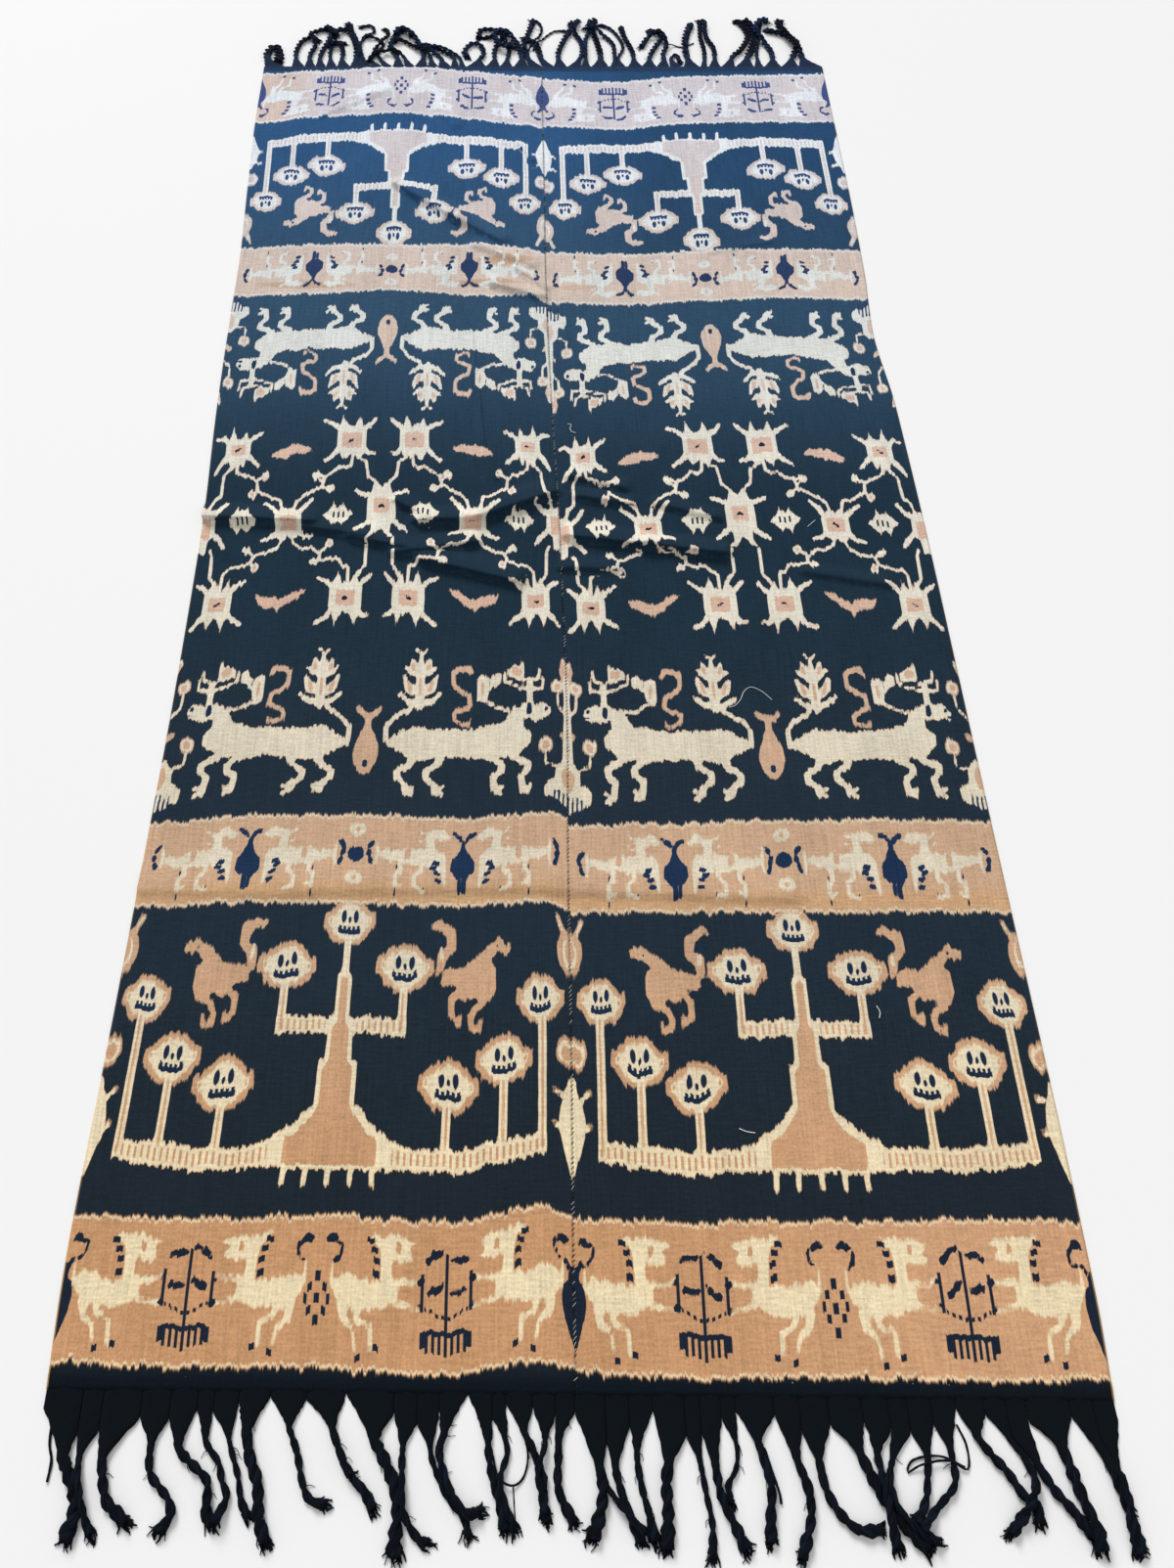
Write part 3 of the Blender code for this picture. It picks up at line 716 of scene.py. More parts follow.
def draw_deer(figures):
    """A cream deer that looks outwards, with zigzag legs, antlers and a plume for an ear."""
    figures.patch("cream", (25, 822), (36, 833), (55, 845), (65, 851), (100, 847), (150, 847),
                  (180, 852), (198, 856), (207, 870), (215, 882), (230, 892), (262, 892), (272, 880),
                  (268, 868), (250, 863), (231, 866), (230, 852), (242, 838), (241, 822), (228, 810),
                  (212, 800), (165, 799), (130, 800), (100, 797), (75, 793), (60, 799), (45, 812))
    figures.limb("cream", (28, 824, 4), (27, 850, 3.6), (38, 865, 3.2), (60, 880, 3.4), (66, 890, 4))
    legs = (
        ((214, 802), (238, 786), (237, 776), (227, 766), (229, 752)),
        ((180, 800), (200, 786), (199, 775), (187, 764), (188, 752)),
        ((110, 802), (106, 786), (89, 776), (90, 764), (103, 752)),
        ((68, 796), (64, 784), (47, 775), (48, 764), (60, 752)),
    )
    for leg in legs:
        figures.limb("cream", *((x, y, half) for (x, y), half in zip(leg, (6, 5, 4.6, 4.6, 4.6))))
        foot = leg[-1][0]
        figures.limb("cream", (foot, 752, 5), (foot + 1, 741, 4.4), (foot + 11, 737, 3))
        figures.limb("cream", (foot + 2, 744, 4), (foot + 12, 748, 3.6))
    figures.limb("ink", (239, 888, 3.8), (239, 875, 4.4))
    figures.limb("ink", (264, 884, 2.6), (265, 880, 2.4))
    figures.limb("ink", (262, 873, 2.2), (272, 872, 2.2))
    figures.limb("cream", (208, 879, 3), (190, 884, 2.6), (178, 892, 2.6), (166, 898, 3))
    figures.patch("cream", (161, 895), (161, 936), (168, 943), (176, 936), (178, 930), (184, 938),
                  (189, 946), (197, 943), (196, 926), (186, 920), (180, 914), (176, 898))
    figures.limb("over", (169, 928, 2.6), (170, 906, 2.2))
    figures.limb("ink", (179, 931, 1.2), (181, 918, 1.2))
    figures.limb("cream", (240, 892, 4.4), (240, 914, 4.4), (240, 930, 4.2))
    figures.limb("cream", (238, 916, 3), (216, 924, 2.4), (203, 931, 2.2), (202, 948, 2))
    figures.limb("cream", (241, 930, 3), (226, 934, 2.4), (212, 938, 2.4))
    figures.limb("cream", (243, 917, 3), (259, 918, 2.4), (261, 938, 2))
    figures.limb("cream", (243, 932, 3), (253, 935, 2.4), (256, 953, 2))
    figures.patch("cream", (207, 937), (208, 950), (218, 958), (227, 961), (229, 975), (232, 960),
                  (232, 940), (222, 935))
    figures.oval("over", 221, 948, 8, 8)


def draw_snake_and_plume(figures):
    """The tan snake over the deer's back and the leafy plume that ends its tail."""
    figures.limb("under", (152, 944, 3), (147, 954, 4), (134, 952, 4), (125, 946, 3.4), (125, 924, 3),
                 (136, 913, 3), (149, 906, 3), (151, 888, 3.4), (136, 880, 2.8), (127, 874, 2.8),
                 (128, 862, 2.6), (140, 857, 2.4), (149, 855, 2.2), (150, 863, 1.6))
    x = 75
    figures.limb("cream", (x, 884, 5), (x, 900, 7), (x, 940, 6), (x, 964, 4), (x, 980, 2))
    for side in (-1, 1):
        tiers = (
            ((0, 888, 5), (18, 896, 4.6), (31, 908, 2.6)),
            ((0, 908, 7), (16, 918, 8), (25, 940, 2.4)),
            ((0, 938, 6), (14, 950, 6), (23, 954, 2.2)),
            ((2, 950, 5), (11, 958, 6), (14, 970, 2.4)),
            ((0, 978, 1.8), (8, 986, 2.4)),
        )
        for tier in tiers:
            figures.limb("cream", *((x + side * dx, y, half) for dx, y, half in tier))
        figures.limb("over", (x + side * 14, 914, 3.4), (x + side * 18, 930, 3))
        figures.limb("over", (x + side * 11, 952, 3.2), (x + side * 13, 961, 3))
    figures.line("over", 2.2, (x, 904), (x, 934))


def draw_middle_fish_and_edge_plants(figures):
    """The tan fish on the panel's middle line, and the plant and buds by its edges."""
    figures.patch("under", (-20, 852), (0, 853), (6, 848), (11, 834), (17, 816), (18.5, 800), (15, 784),
                  (6, 770), (0, 768), (-20, 768))
    figures.limb("under", (0, 848, 4.4), (0, 868, 4.4), (9, 873, 4), (16, 880, 3.4))
    figures.limb("ink", (0, 789, 3.6), (0, 782, 3.6))
    buds = ((281, 921, 9, ((281, 910), (282, 886), (294, 868))),
            (263, 821, 10, ((263, 808), (263, 790), (280, 782))))
    for x, y, half, stem in buds:
        figures.line("cream", 2, *stem)
        figures.limb("under", (x, y + 3, half), (x, y - 2, half))
        figures.limb("cream", (x, y + 3, half - 1), (x, y - 2, half - 1.5))
        figures.limb("over", (x + 1, y + 2, half - 4.5), (x, y - 2, half - 5))
    figures.limb("cream", (301, 950, 8), (292, 968, 3))
    figures.limb("over", (299, 952, 6), (293, 964, 2))
    figures.limb("under", (286, 840, 2.6), (293, 832, 4), (300, 836, 3))
    figures.patch("cream", (302, 796), (286, 794), (278, 782), (277, 762), (268, 758), (261, 748),
                  (262, 732), (272, 728), (302, 714))
    figures.patch("over", (302, 786), (290, 785), (285, 772), (289, 752), (302, 748))
    for x in (275, 281.5, 288, 294.5):
        figures.line("ink", 1.5, (x, 714), (x, 742))


def draw_seam_stalk(figures):
    """The stalk of the edge plant, which only the two edges at the seam show."""
    figures.limb("cream", (298, 790, 11), (297, 830, 8.5), (296, 880, 5.5), (296, 940, 4.6))
    figures.limb("under", (296, 930, 7), (293, 950, 8), (291, 968, 2.4))


# Each star: its middle, the half size of its body, where its two upper and two lower spikes
# end, and half the size of its brown centre
Star = namedtuple("Star", "x y half_x half_y uppers lowers centre")
STARS = (
    Star(50, 1086, 26, 25, ((-14, 52), (14, 54)), ((-17, -56), (15, -58)), 15),
    Star(252, 1079, 22, 22, ((-14, 49), (8, 46)), ((-12, -54), (13, -54)), 13),
    Star(54, 1421, 25, 30, ((-14, 60), (16, 56)), ((-15, -46), (13, -46)), 17),
    Star(249, 1404, 21, 22, ((-13, 48), (11, 52)), ((-12, -42), (8, -48)), 12),
    Star(152, 1238, 22, 22, ((-8, 30), (10, 32)), ((-9, -34), (10, -42)), 14),
)
# The bent arms of those stars, from the body outwards
STAR_ARMS = (
    ((31, 1108), (19, 1120), (12, 1130)), ((70, 1106), (82, 1118), (96, 1126)),
    ((31, 1064), (21, 1051), (12, 1052)), ((70, 1062), (78, 1048), (95, 1035)),
    ((236, 1098), (226, 1112), (213, 1121)), ((268, 1098), (276, 1108), (287, 1117)),
    ((236, 1060), (224, 1047), (212, 1036)), ((268, 1058), (277, 1046), (287, 1032)),
    ((34, 1446), (21, 1458), (13, 1470)), ((76, 1446), (88, 1456), (103, 1464)),
    ((34, 1402), (24, 1389), (14, 1389)), ((76, 1400), (86, 1386), (100, 1374)),
    ((234, 1420), (222, 1432), (210, 1440)), ((266, 1420), (276, 1431), (286, 1428)),
    ((234, 1392), (222, 1377), (211, 1366)), ((266, 1388), (276, 1370), (284, 1350)),
    ((136, 1258), (128, 1276), (116, 1292)), ((170, 1258), (182, 1270), (195, 1281)),
    ((136, 1222), (126, 1215), (113, 1213)), ((170, 1222), (180, 1208), (194, 1204)),
)
# The thin stems that join the stars, and the buds on them: middle, half size, where the
# stem is, and brown or not
STAR_STEMS = (
    ((145, 1206), (141, 1196), (128, 1188), (112, 1190), (104, 1180), (97, 1178), (97, 1163),
     (66, 1162), (58, 1150), (49, 1147), (48, 1112)),
    ((161, 1204), (168, 1188), (182, 1178), (204, 1173), (208, 1158), (222, 1151), (242, 1147),
     (250, 1138), (251, 1106)),
    ((51, 1388), (53, 1364), (62, 1358), (72, 1361), (84, 1348), (97, 1341), (101, 1318), (116, 1310),
     (130, 1298), (143, 1286), (146, 1264)),
    ((248, 1376), (247, 1353), (228, 1342), (212, 1334), (210, 1312), (196, 1301), (182, 1291),
     (170, 1291), (164, 1264)),
    ((22, 1200), (22, 1150), (29, 1140), (36, 1124)),
    ((276, 1186), (272, 1176), (270, 1130), (263, 1121), (259, 1108)),
    ((42, 1382), (28, 1372), (24, 1338), (12, 1326), (6, 1316)),
    ((258, 1362), (269, 1345), (270, 1300), (280, 1288), (284, 1266)),
)
Bud = namedtuple("Bud", "x y half_x half_y stem_x stem_y marked")
BUDS = (
    Bud(83, 1194, 7, 9, 98, 1179, True),
    Bud(106, 1158, 7, 7, 98, 1164, False),
    Bud(200, 1147, 6, 9, 208, 1158, True),
    Bud(217, 1184, 7, 7, 205, 1173, False),
    Bud(112, 1342, 7, 9, 97, 1341, False),
    Bud(87, 1312, 7, 8, 101, 1318, False),
    Bud(198, 1341, 6, 10, 212, 1334, False),
    Bud(218, 1303, 7, 9, 210, 1312, True),
)


def draw_star(figures, star):
    """A star: one outline with two spikes at each end, a brown centre and a dark dash."""
    x, y, a, b = star.x, star.y, star.half_x, star.half_y
    (left_x, left_y), (right_x, right_y) = star.uppers
    (low_left_x, low_left_y), (low_right_x, low_right_y) = star.lowers
    outline = (
        (-a, b - 6), (-a + 6, b + 2), (left_x, left_y), (left_x + 7, b + 6), (-1, b + 2),
        (right_x - 7, b + 6), (right_x, right_y), (a - 5, b + 2), (a, b - 6), (a, 6 - b),
        (a - 6, -b - 2), (low_right_x, low_right_y), (low_right_x - 8, -b - 7), (0, -b - 2),
        (low_left_x + 8, -b - 7), (low_left_x, low_left_y), (6 - a, -b - 2), (-a, 6 - b),
    )
    figures.patch("cream", *((x + dx, y + dy) for dx, dy in outline))
    c = star.centre
    figures.patch("over", (x - c, y - c), (x + c, y - c), (x + c, y + c), (x - c, y + c))
    figures.limb("ink", (x - 3, y + 2, 2.6), (x + 3, y - 2, 2.6))


def draw_star_field(figures):
    """The stars with their arms, stems and buds, and the rosettes on the middle line and edge."""
    for star in STARS:
        draw_star(figures, star)
    for near, bend, tip in STAR_ARMS:
        figures.limb("cream", (*near, 5), (*bend, 4), (*tip, 2.8))
    for stem in STAR_STEMS:
        figures.line("cream", 2.6, *stem)
    for bud in BUDS:
        figures.oval("cream", bud.x, bud.y, bud.half_x, bud.half_y)
        figures.line("cream", 2.6, (bud.x, bud.y), (bud.stem_x, bud.stem_y))
        if bud.marked:
            figures.oval("over", bud.x, bud.y, 3.4, 5)
    figures.limb("cream", (106, 1334, 2), (101, 1328, 2))
    figures.patch("cream", (-24, 1300), (-12, 1318), (0, 1312), (12, 1330), (18, 1300), (24, 1288),
                  (24, 1240), (16, 1232), (15, 1216), (22, 1204), (14, 1204), (0, 1226), (-20, 1226))
    figures.patch("over", (-20, 1258), (13, 1258), (13, 1289), (-20, 1289))
    figures.limb("ink", (0, 1274, 3), (4, 1270, 2.4))
    figures.limb("cream", (20, 1296, 5), (31, 1300, 4.6), (43, 1306, 3.6))
    figures.limb("cream", (20, 1240, 5), (30, 1230, 4.6), (41, 1221, 3.6))
    figures.patch("cream", (302, 1270), (286, 1268), (275, 1262), (273, 1218), (283, 1206),
                  (284, 1182), (302, 1180))
    figures.patch("over", (302, 1250), (281, 1250), (281, 1212), (302, 1212))
    figures.limb("cream", (277, 1256, 5), (266, 1268, 4.6), (257, 1284, 3.4))
    figures.limb("cream", (277, 1222, 5), (264, 1209, 4.6), (256, 1196, 3.4))
    for x, y in ((72, 1256), (229, 1245)):
        figures.patch("cream", (x - 25, y), (x - 16, y + 9), (x - 11, y + 17), (x - 8, y + 28),
                      (x - 4, y + 18), (x + 4, y + 18), (x + 8, y + 28), (x + 12, y + 15), (x + 25, y),
                      (x + 14, y - 12), (x + 8, y - 27), (x + 3, y - 16), (x - 3, y - 16),
                      (x - 8, y - 25), (x - 13, y - 13))
    figures.patch("under", (114, 1101), (124, 1089), (139, 1074), (151, 1066), (155, 1058),
                  (162, 1067), (177, 1069), (188, 1075), (194, 1090), (186, 1087), (174, 1088),
                  (161, 1085), (154, 1080), (139, 1090), (125, 1100))
    figures.patch("under", (120, 1399), (130, 1406), (150, 1408), (163, 1406), (176, 1398), (191, 1384),
                  (180, 1380), (165, 1382), (150, 1390), (135, 1392))


def steepened(depth, rows, columns):
    """The depth divided by how squarely its edge crosses the warps, down to a third.

    An edge that runs along the warps then hardly moves when a dye creeps along them. With
    it comes how fast that depth grows along the warps, from -1 to 1.
    """
    along, across = np.gradient(depth, rows, columns)
    square = np.abs(along) / (np.hypot(along, across) + 1e-6)
    steep = depth / np.clip(square, 0.3, 1.0)
    return steep, np.clip(np.gradient(steep, rows, axis=0), -1, 1)


def soft_noise(down, over, cells, seed):
    """Smooth noise from -1 to 1 at rows and columns from 0 to 1: random corners of cells,
    joined by cosines.
    """
    draw = np.random.default_rng(seed)
    corners = draw.uniform(-1, 1, (cells[0] + 1, cells[1] + 1))
    row, column = down * (cells[0] - 1e-6), over * (cells[1] - 1e-6)
    i, j = row.astype(int), column.astype(int)
    t = (0.5 - 0.5 * np.cos(np.pi * (row - i)))[:, None]
    u = (0.5 - 0.5 * np.cos(np.pi * (column - j)))[None, :]
    near = corners[i][:, j] * (1 - u) + corners[i][:, j + 1] * u
    far = corners[i + 1][:, j] * (1 - u) + corners[i + 1][:, j + 1] * u
    return near * (1 - t) + far * t


def dyed_figures(side, across, along, drifts):
    """What each point of a panel's upper grid keeps.

    These are its depths in the layers, how they grow along the warps, the ink and hatching,
    and its place in the pattern.
    """
    across, along = across * 1000, along * 1000
    moved = along - drift(drifts, across, along)
    rows, columns = along[:, 0], across[0]
    down = (rows - rows[0]) / (rows[-1] - rows[0])
    over = columns * MM / PANEL_WIDTH + 0.5
    moved = moved - SOFT_DRIFT * soft_noise(down, over, SOFT_CELLS, 3 + side)
    folded = np.where(moved < PATTERN_FOLD, moved, 2 * PATTERN_FOLD - moved)
    figures = Figures(np.abs(across), folded)
    place = np.stack((figures.x, folded, moved), axis=-1)
    draw_near_band(figures)
    draw_tree(figures)
    draw_rooster(figures)
    draw_selvedge_figures(figures)
    draw_second_band(figures)
    draw_deer(figures)
    draw_snake_and_plume(figures)
    draw_middle_fish_and_edge_plants(figures)
    figures.x = -side * across
    draw_seam_stalk(figures)
    figures.x, figures.y = np.abs(across), moved
    draw_star_field(figures)
    layers = {name: steepened(depth, rows, columns) for name, depth in figures.layers.items()}
    depths, leans = (
        np.stack((layers["under"][k], layers["cream"][k], layers["over"][k]), axis=-1) for k in (0, 1)
    )
    details = np.stack((layers["ink"][0], figures.layers["hatch"], layers["ink"][1]), axis=-1)
    return depths, leans, details, place


def make_mesh(name, points, faces, material):
    """An object at the origin from an array of points and a list of faces."""
    mesh = bpy.data.meshes.new(name)
    mesh.from_pydata(points.tolist(), [], faces)
    mesh.update()
    mesh.materials.append(material)
    obj = bpy.data.objects.new(name, mesh)
    bpy.context.scene.collection.objects.link(obj)
    return obj


def keep_attribute(obj, name, values):
    """A vector for each point of a mesh, which its material reads by name."""
    attribute = obj.data.attributes.new(name, "FLOAT_VECTOR", "POINT")
    attribute.data.foreach_set("vector", np.ascontiguousarray(values, np.float32).ravel())


def grid_faces(rows, columns, first=0):
    """Quads of a grid of points stored row by row, as rows of four point numbers."""
    width = columns + 1
    corner = first + np.arange(rows)[:, None] * width + np.arange(columns)[None, :]
    corner = corner.ravel()
    return np.stack((corner, corner + 1, corner + width + 1, corner + width), axis=1)


def srgb(red, green, blue):
    """A colour as seen on a screen, 0 to 255, in the linear light that shaders use."""
    parts = np.array((red, green, blue)) / 255
    linear = np.where(parts <= 0.04045, parts / 12.92, ((parts + 0.055) / 1.055) ** 2.4)
    return (*linear.tolist(), 1.0)


class Signal:
    """One number or colour that runs through a material, with the operators it needs."""

    def __init__(self, shader, socket):
        self.shader, self.socket = shader, socket

    def math(self, operation, *others):
        return self.shader.node("Math", {"operation": operation}, [self, *others])

    def __add__(self, other):
        return self.math("ADD", other)

    __radd__ = __add__

    def __sub__(self, other):
        return self.math("SUBTRACT", other)

    def __rsub__(self, other):
        return self.shader.node("Math", {"operation": "SUBTRACT"}, [other, self])

    def __mul__(self, other):
        return self.math("MULTIPLY", other)

    __rmul__ = __mul__

    def __truediv__(self, other):
        return self.math("DIVIDE", other)

    def floor(self):
        return self.math("FLOOR")

    def fraction(self):
        return self.math("FRACT")

    def size(self):
        return self.math("ABSOLUTE")

    def least(self, other):
        return self.math("MINIMUM", other)

    def most(self, other):
        return self.math("MAXIMUM", other)

    def step(self, low, high):
        """0 below low and 1 above high, with a smooth rise between."""
        sockets = {"Value": self, "From Min": low, "From Max": high}
        return self.shader.node("MapRange", {"interpolation_type": "SMOOTHSTEP"}, sockets, "Result")

    def parts(self):
        node = self.shader.node("SeparateXYZ", {}, [self], None)
        return [Signal(self.shader, output) for output in node.outputs]


class Shader:
    """The nodes of one material, on a Principled surface."""

    def __init__(self, name, roughness):
        self.material = bpy.data.materials.new(name)
        self.material.use_nodes = True
        self.tree = self.material.node_tree
        self.surface = self.tree.nodes["Principled BSDF"]
        self.surface.inputs["Roughness"].default_value = roughness

    def link(self, value, socket):
        """Joins a signal to a socket, or sets the socket to a plain value."""
        if isinstance(value, Signal):
            self.tree.links.new(value.socket, socket)
        else:
            socket.default_value = value

    def node(self, kind, settings, sockets, output=0):
        """Adds a node: its settings first, then its sockets by name or in order."""
        node = self.tree.nodes.new("ShaderNode" + kind)
        for setting, value in settings.items():
            setattr(node, setting, value)
        pairs = sockets.items() if isinstance(sockets, dict) else enumerate(sockets)
        for key, value in pairs:
            self.link(value, node.inputs[key])
        return node if output is None else Signal(self, node.outputs[output])

    def position(self):
        """Where the surface is, in metres."""
        return self.node("TexCoord", {}, {}, "Object")

    def attribute(self, name):
        return self.node("Attribute", {"attribute_name": name}, {}, "Vector")

    def vector(self, x, y, z=0.0):
        return self.node("CombineXYZ", {}, [x, y, z])

    def noise(self, place, scale=1.0, detail=2.0):
        """Soft noise, 0 to 1, about 0.5."""
        return self.node("TexNoise", {}, {"Vector": place, "Scale": scale, "Detail": detail})

    def random(self, number):
        """A fixed random value, 0 to 1, for each whole number."""
        return self.node("TexWhiteNoise", {"noise_dimensions": "1D"}, {"W": number}, "Value")

    def mix(self, share, low, high):
        """A blend of two colours."""
        settings = {"data_type": "RGBA"}
        sockets = {"Factor": share, 6: low, 7: high}
        return self.node("Mix", settings, sockets, 2)

    def scaled(self, colour, factor):
        """A colour times a number."""
        settings = {"operation": "SCALE"}
        return self.node("VectorMath", settings, {0: colour, "Scale": factor})

    def bump(self, height, strength, distance):
        sockets = {"Height": height, "Strength": strength, "Distance": distance}
        return self.node("Bump", {}, sockets)

    def set(self, **sockets):
        """Sets or links the surface's own sockets, written with _ for a space."""
        for name, value in sockets.items():
            self.link(value, self.surface.inputs[name.replace("_", " ")])
        return self.material


# Each dye as it shows at five stations along the throw, with painted sheen and cool light that make it
# lighter and bluer towards the far end
DYE_AND_LIGHT_STATIONS = (0.10, 0.68, 1.25, 1.78, 2.35)
GROUND = (srgb(28, 38, 47), srgb(31, 46, 59), srgb(25, 47, 63), srgb(47, 78, 105), srgb(40, 85, 131))
BROWN = (
    srgb(200, 151, 109), srgb(201, 166, 136), srgb(216, 182, 162), srgb(210, 192, 180),
    srgb(211, 205, 211),
)
CREAM = (
    srgb(236, 218, 180), srgb(220, 209, 186), srgb(228, 223, 208), srgb(218, 222, 219),
    srgb(230, 236, 242),
)
INK = (srgb(26, 36, 52), srgb(26, 48, 78), srgb(22, 32, 48), srgb(36, 58, 96), srgb(62, 82, 138))
END_GROUND = srgb(9, 19, 27)
DEEP_GROUND = srgb(18, 48, 76)
# The dark band at the far end, lighter and bluer than END_GROUND by painted cool light
FAR_END_GROUND = srgb(30, 52, 84)

# Ochre patches on the third brown band: middle, half size in metres, and strength. The second and third
# lie on the folds by the seam and are painted fold shade; the first and last are ochre stains.
OCHRE_STAINS_AND_FOLD_SHADE = (
    (-0.450, 1.812, 0.110, 0.012, 0.75),
    (-0.110, 1.818, 0.080, 0.014, 0.85),
    (-0.075, 1.882, 0.070, 0.016, 0.8),
    (0.060, 1.806, 0.060, 0.010, 0.4),
)


def oval_share(x, y, half_x, half_y):
    """1 in the middle of an oval about 0, 0, which fades to 0 at its edge."""
    u, v = x / half_x, y / half_y
    return (1.0 - u * u - v * v).step(0.0, 0.8)


def dye_and_painted_light(shader, dye, rises):
    """The dye's colour with its painted sheen and cool light, from how far each stretch between stations
    has been passed.
    """
    colour = dye[0]
    for following, rise in zip(dye[1:], rises):
        colour = shader.mix(rise, colour, following)
    return colour


def box(x, y, half_x, half_y):
    """How deep a point lies in a box about 0, 0."""
    return (half_x - x.size()).least(half_y - y.size())


def pill(x, y, half_x, half_y):
    """How deep a point lies in an upright oval about 0, 0, near its edge."""
    u, v = x / half_x, y / half_y
    return (1.0 - u * u - v * v) * (half_x / 2)


def deepest(*depths):
    """The greatest of several depths."""
    found = depths[0]
    for depth in depths[1:]:
        found = found.most(depth)
    return found


def repeats(value, pitch):
    """The distance from the middle of the nearest stripe at this pitch."""
    return ((value / pitch).fraction() - 0.5).size() * pitch


# The two brown bands, as middle and half depth in the pattern's millimetres
BANDS = ((92.0, 80.0), (634.0, 66.0))


def drawn_bands(w):
    return deepest(*(half - (w - middle).size() for middle, half in BANDS))


def drawn_faces(s, w):
    """The eyes, noses and toothed mouths of all the heads, in one head's own coordinates."""
    x, y = s * 0.0 + 99.0, s * 0.0
    for head in HEADS:
        here_x = (s - head.x) / head.wide
        here_y = w - head.y - here_x * head.lean
        inside = box(here_x, here_y, 36.0, 30.0).step(-0.1, 0.1)
        x = x + (here_x - x) * inside
        y = y + (here_y - y) * inside
    eyes = pill(x.size() - 8.6, y - 6.0, 3.7, 9.0)
    nose = pill(x, y - 1.0, 2.2, 4.6)
    lips = y + 14.0 - x * x * 0.016
    mouth = box(x, lips, 16.0, 5.6)
    teeth = (1.2 - repeats(x, 6.4)).least(lips - 1.2)
    return deepest(eyes, nose, mouth.least(0.0 - teeth))


def drawn_comb_tree(s, w):
    """The stem, two fences, comb and dotted arc of the dark tree, and the spindle of dashes."""
    x = s - float(TREE_MIDDLE)
    stem = box(x, w - 84.0, 1.9, 54.0)
    fences = box(x.size() - 28.0, w - 96.0, 1.9, 20.0)
    comb = box(x, w - 54.5 + x * x * 0.003, 29.0, 3.0)
    ends = box(x.size() - 25.5, w - 47.0, 4.0, 8.5)
    teeth = box(x, w - 44.0, 26.0, 11.0).least(1.8 - repeats(x + 3.6, 7.2))
    arc = w - 71.0 - x * x * 0.012
    dots = box(x, arc, 25.0, 2.2).least(1.9 - repeats(x, 7.0))
    first = box(s, w - 82.0, 3.2, 31.0).least(5.6 - repeats(w - 46.0, 24.0))
    second = box(s - 8.5, w - 82.0, 2.6, 19.0).least(4.6 - repeats(w - 58.0, 24.0))
    third = box(s - 13.0, w - 82.0, 2.0, 5.5)
    return deepest(stem, fences, comb, ends, teeth, dots, first, second, third)


# The dark dashes of both horses' manes and hooves: middle from the comb tree's stem, half size
HORSE_DASHES = (
    (90.0, 147.0, 4.4, 3.4),
    (85.0, 137.0, 4.0, 3.4),
    (82.0, 126.0, 3.8, 3.6),
    (82.0, 111.5, 4.0, 4.2),
    (99.0, 26.0, 3.0, 3.6),
    (79.0, 33.0, 3.2, 3.6),
)


def drawn_horse_dashes(s, w):
    x = (s - float(TREE_MIDDLE)).size()
    return deepest(*(box(x - mark[0], w - mark[1], mark[2], mark[3]) for mark in HORSE_DASHES))


def drawn_rosette_marks(s, w):
    """Three dark dashes in each rosette of the middle row of stars."""
    marks = []
    for x, y, dash in ((71.0, 1257.0, 75.0), (228.0, 1244.0, 232.0)):
        row = box(s - x, w - y, 10.0, 6.5)
        marks.append(row.least(1.6 - repeats(s - dash, 8.0)))
    return deepest(*marks)


# The bundles and yarns of warp that slip past each other, in metres. The dyes slide with
# them and creep along them by these millimetres.
BUNDLE_WIDTH = 0.0045
YARN_WIDTH = 0.0019
YARN_SLIP = 3.0
BUNDLE_SLIP = 4.6
SLOW_SLIP = 7.0
DYE_CREEP = 6.0


def slipping_warps(shader, across, along):
    """How far the figures slide at each warp, and how far a dye creeps along it."""
    bundle = (across / BUNDLE_WIDTH).floor()
    yarn = (across / YARN_WIDTH).floor()
    slow = shader.noise(shader.vector(bundle * 7.31, along * 16.0), 1.0, 1.0)
    quick = shader.noise(shader.vector(yarn * 3.17, along * 40.0), 1.0, 1.0)
    slips = (shader.random(yarn) - 0.5) * YARN_SLIP + (shader.random(bundle) - 0.5) * BUNDLE_SLIP
    return slips + (slow - 0.5) * SLOW_SLIP, (quick - 0.5) * DYE_CREEP


def indigo_ground(shader, across, along, rises):
    """The indigo: nearly black at the near edge, deeper far right, and bluer at the far edge, where
    painted cool light lightens it.
    """
    ground = dye_and_painted_light(shader, GROUND, rises)
    ground = shader.mix(along.step(-0.005, 0.03), END_GROUND, ground)
    deep = across.step(0.0, 0.25) * along.step(1.55, 2.0)
    ground = shader.mix(deep * 0.4, ground, DEEP_GROUND)
    return shader.mix(along.step(2.488, 2.500), ground, FAR_END_GROUND)


def red_brown(shader, across, along, moved, rises):
    """The brown: painted ochre fold shade along the second band's lower edge, faded near right, ochre
    patches that are stains and painted fold shade, pale far left.
    """
    brown = dye_and_painted_light(shader, BROWN, rises)
    # Painted shade of the fold along the second band's lower edge, in ochre
    fold_shade = moved.step(566.0, 574.0) * (1.0 - moved.step(588.0, 606.0))
    brown = shader.mix(fold_shade * 0.7, brown, srgb(204, 162, 118))
    faded = across.step(0.02, 0.5) * (1.0 - along.step(0.3, 0.6))
    brown = shader.mix(faded * 0.35, brown, srgb(222, 178, 142))
    # Each patch: an ochre stain, or painted fold shade where it lies on a fold
    for x, w, half_x, half_w, share in OCHRE_STAINS_AND_FOLD_SHADE:
        near = oval_share(across - x, along - w, half_x, half_w)
        brown = shader.mix(near * share, brown, srgb(188, 156, 128))
    warm = (-0.46 - across).step(0.0, 0.09) * along.step(2.2, 2.3)
    return shader.mix(warm * 0.7, brown, srgb(214, 190, 172))


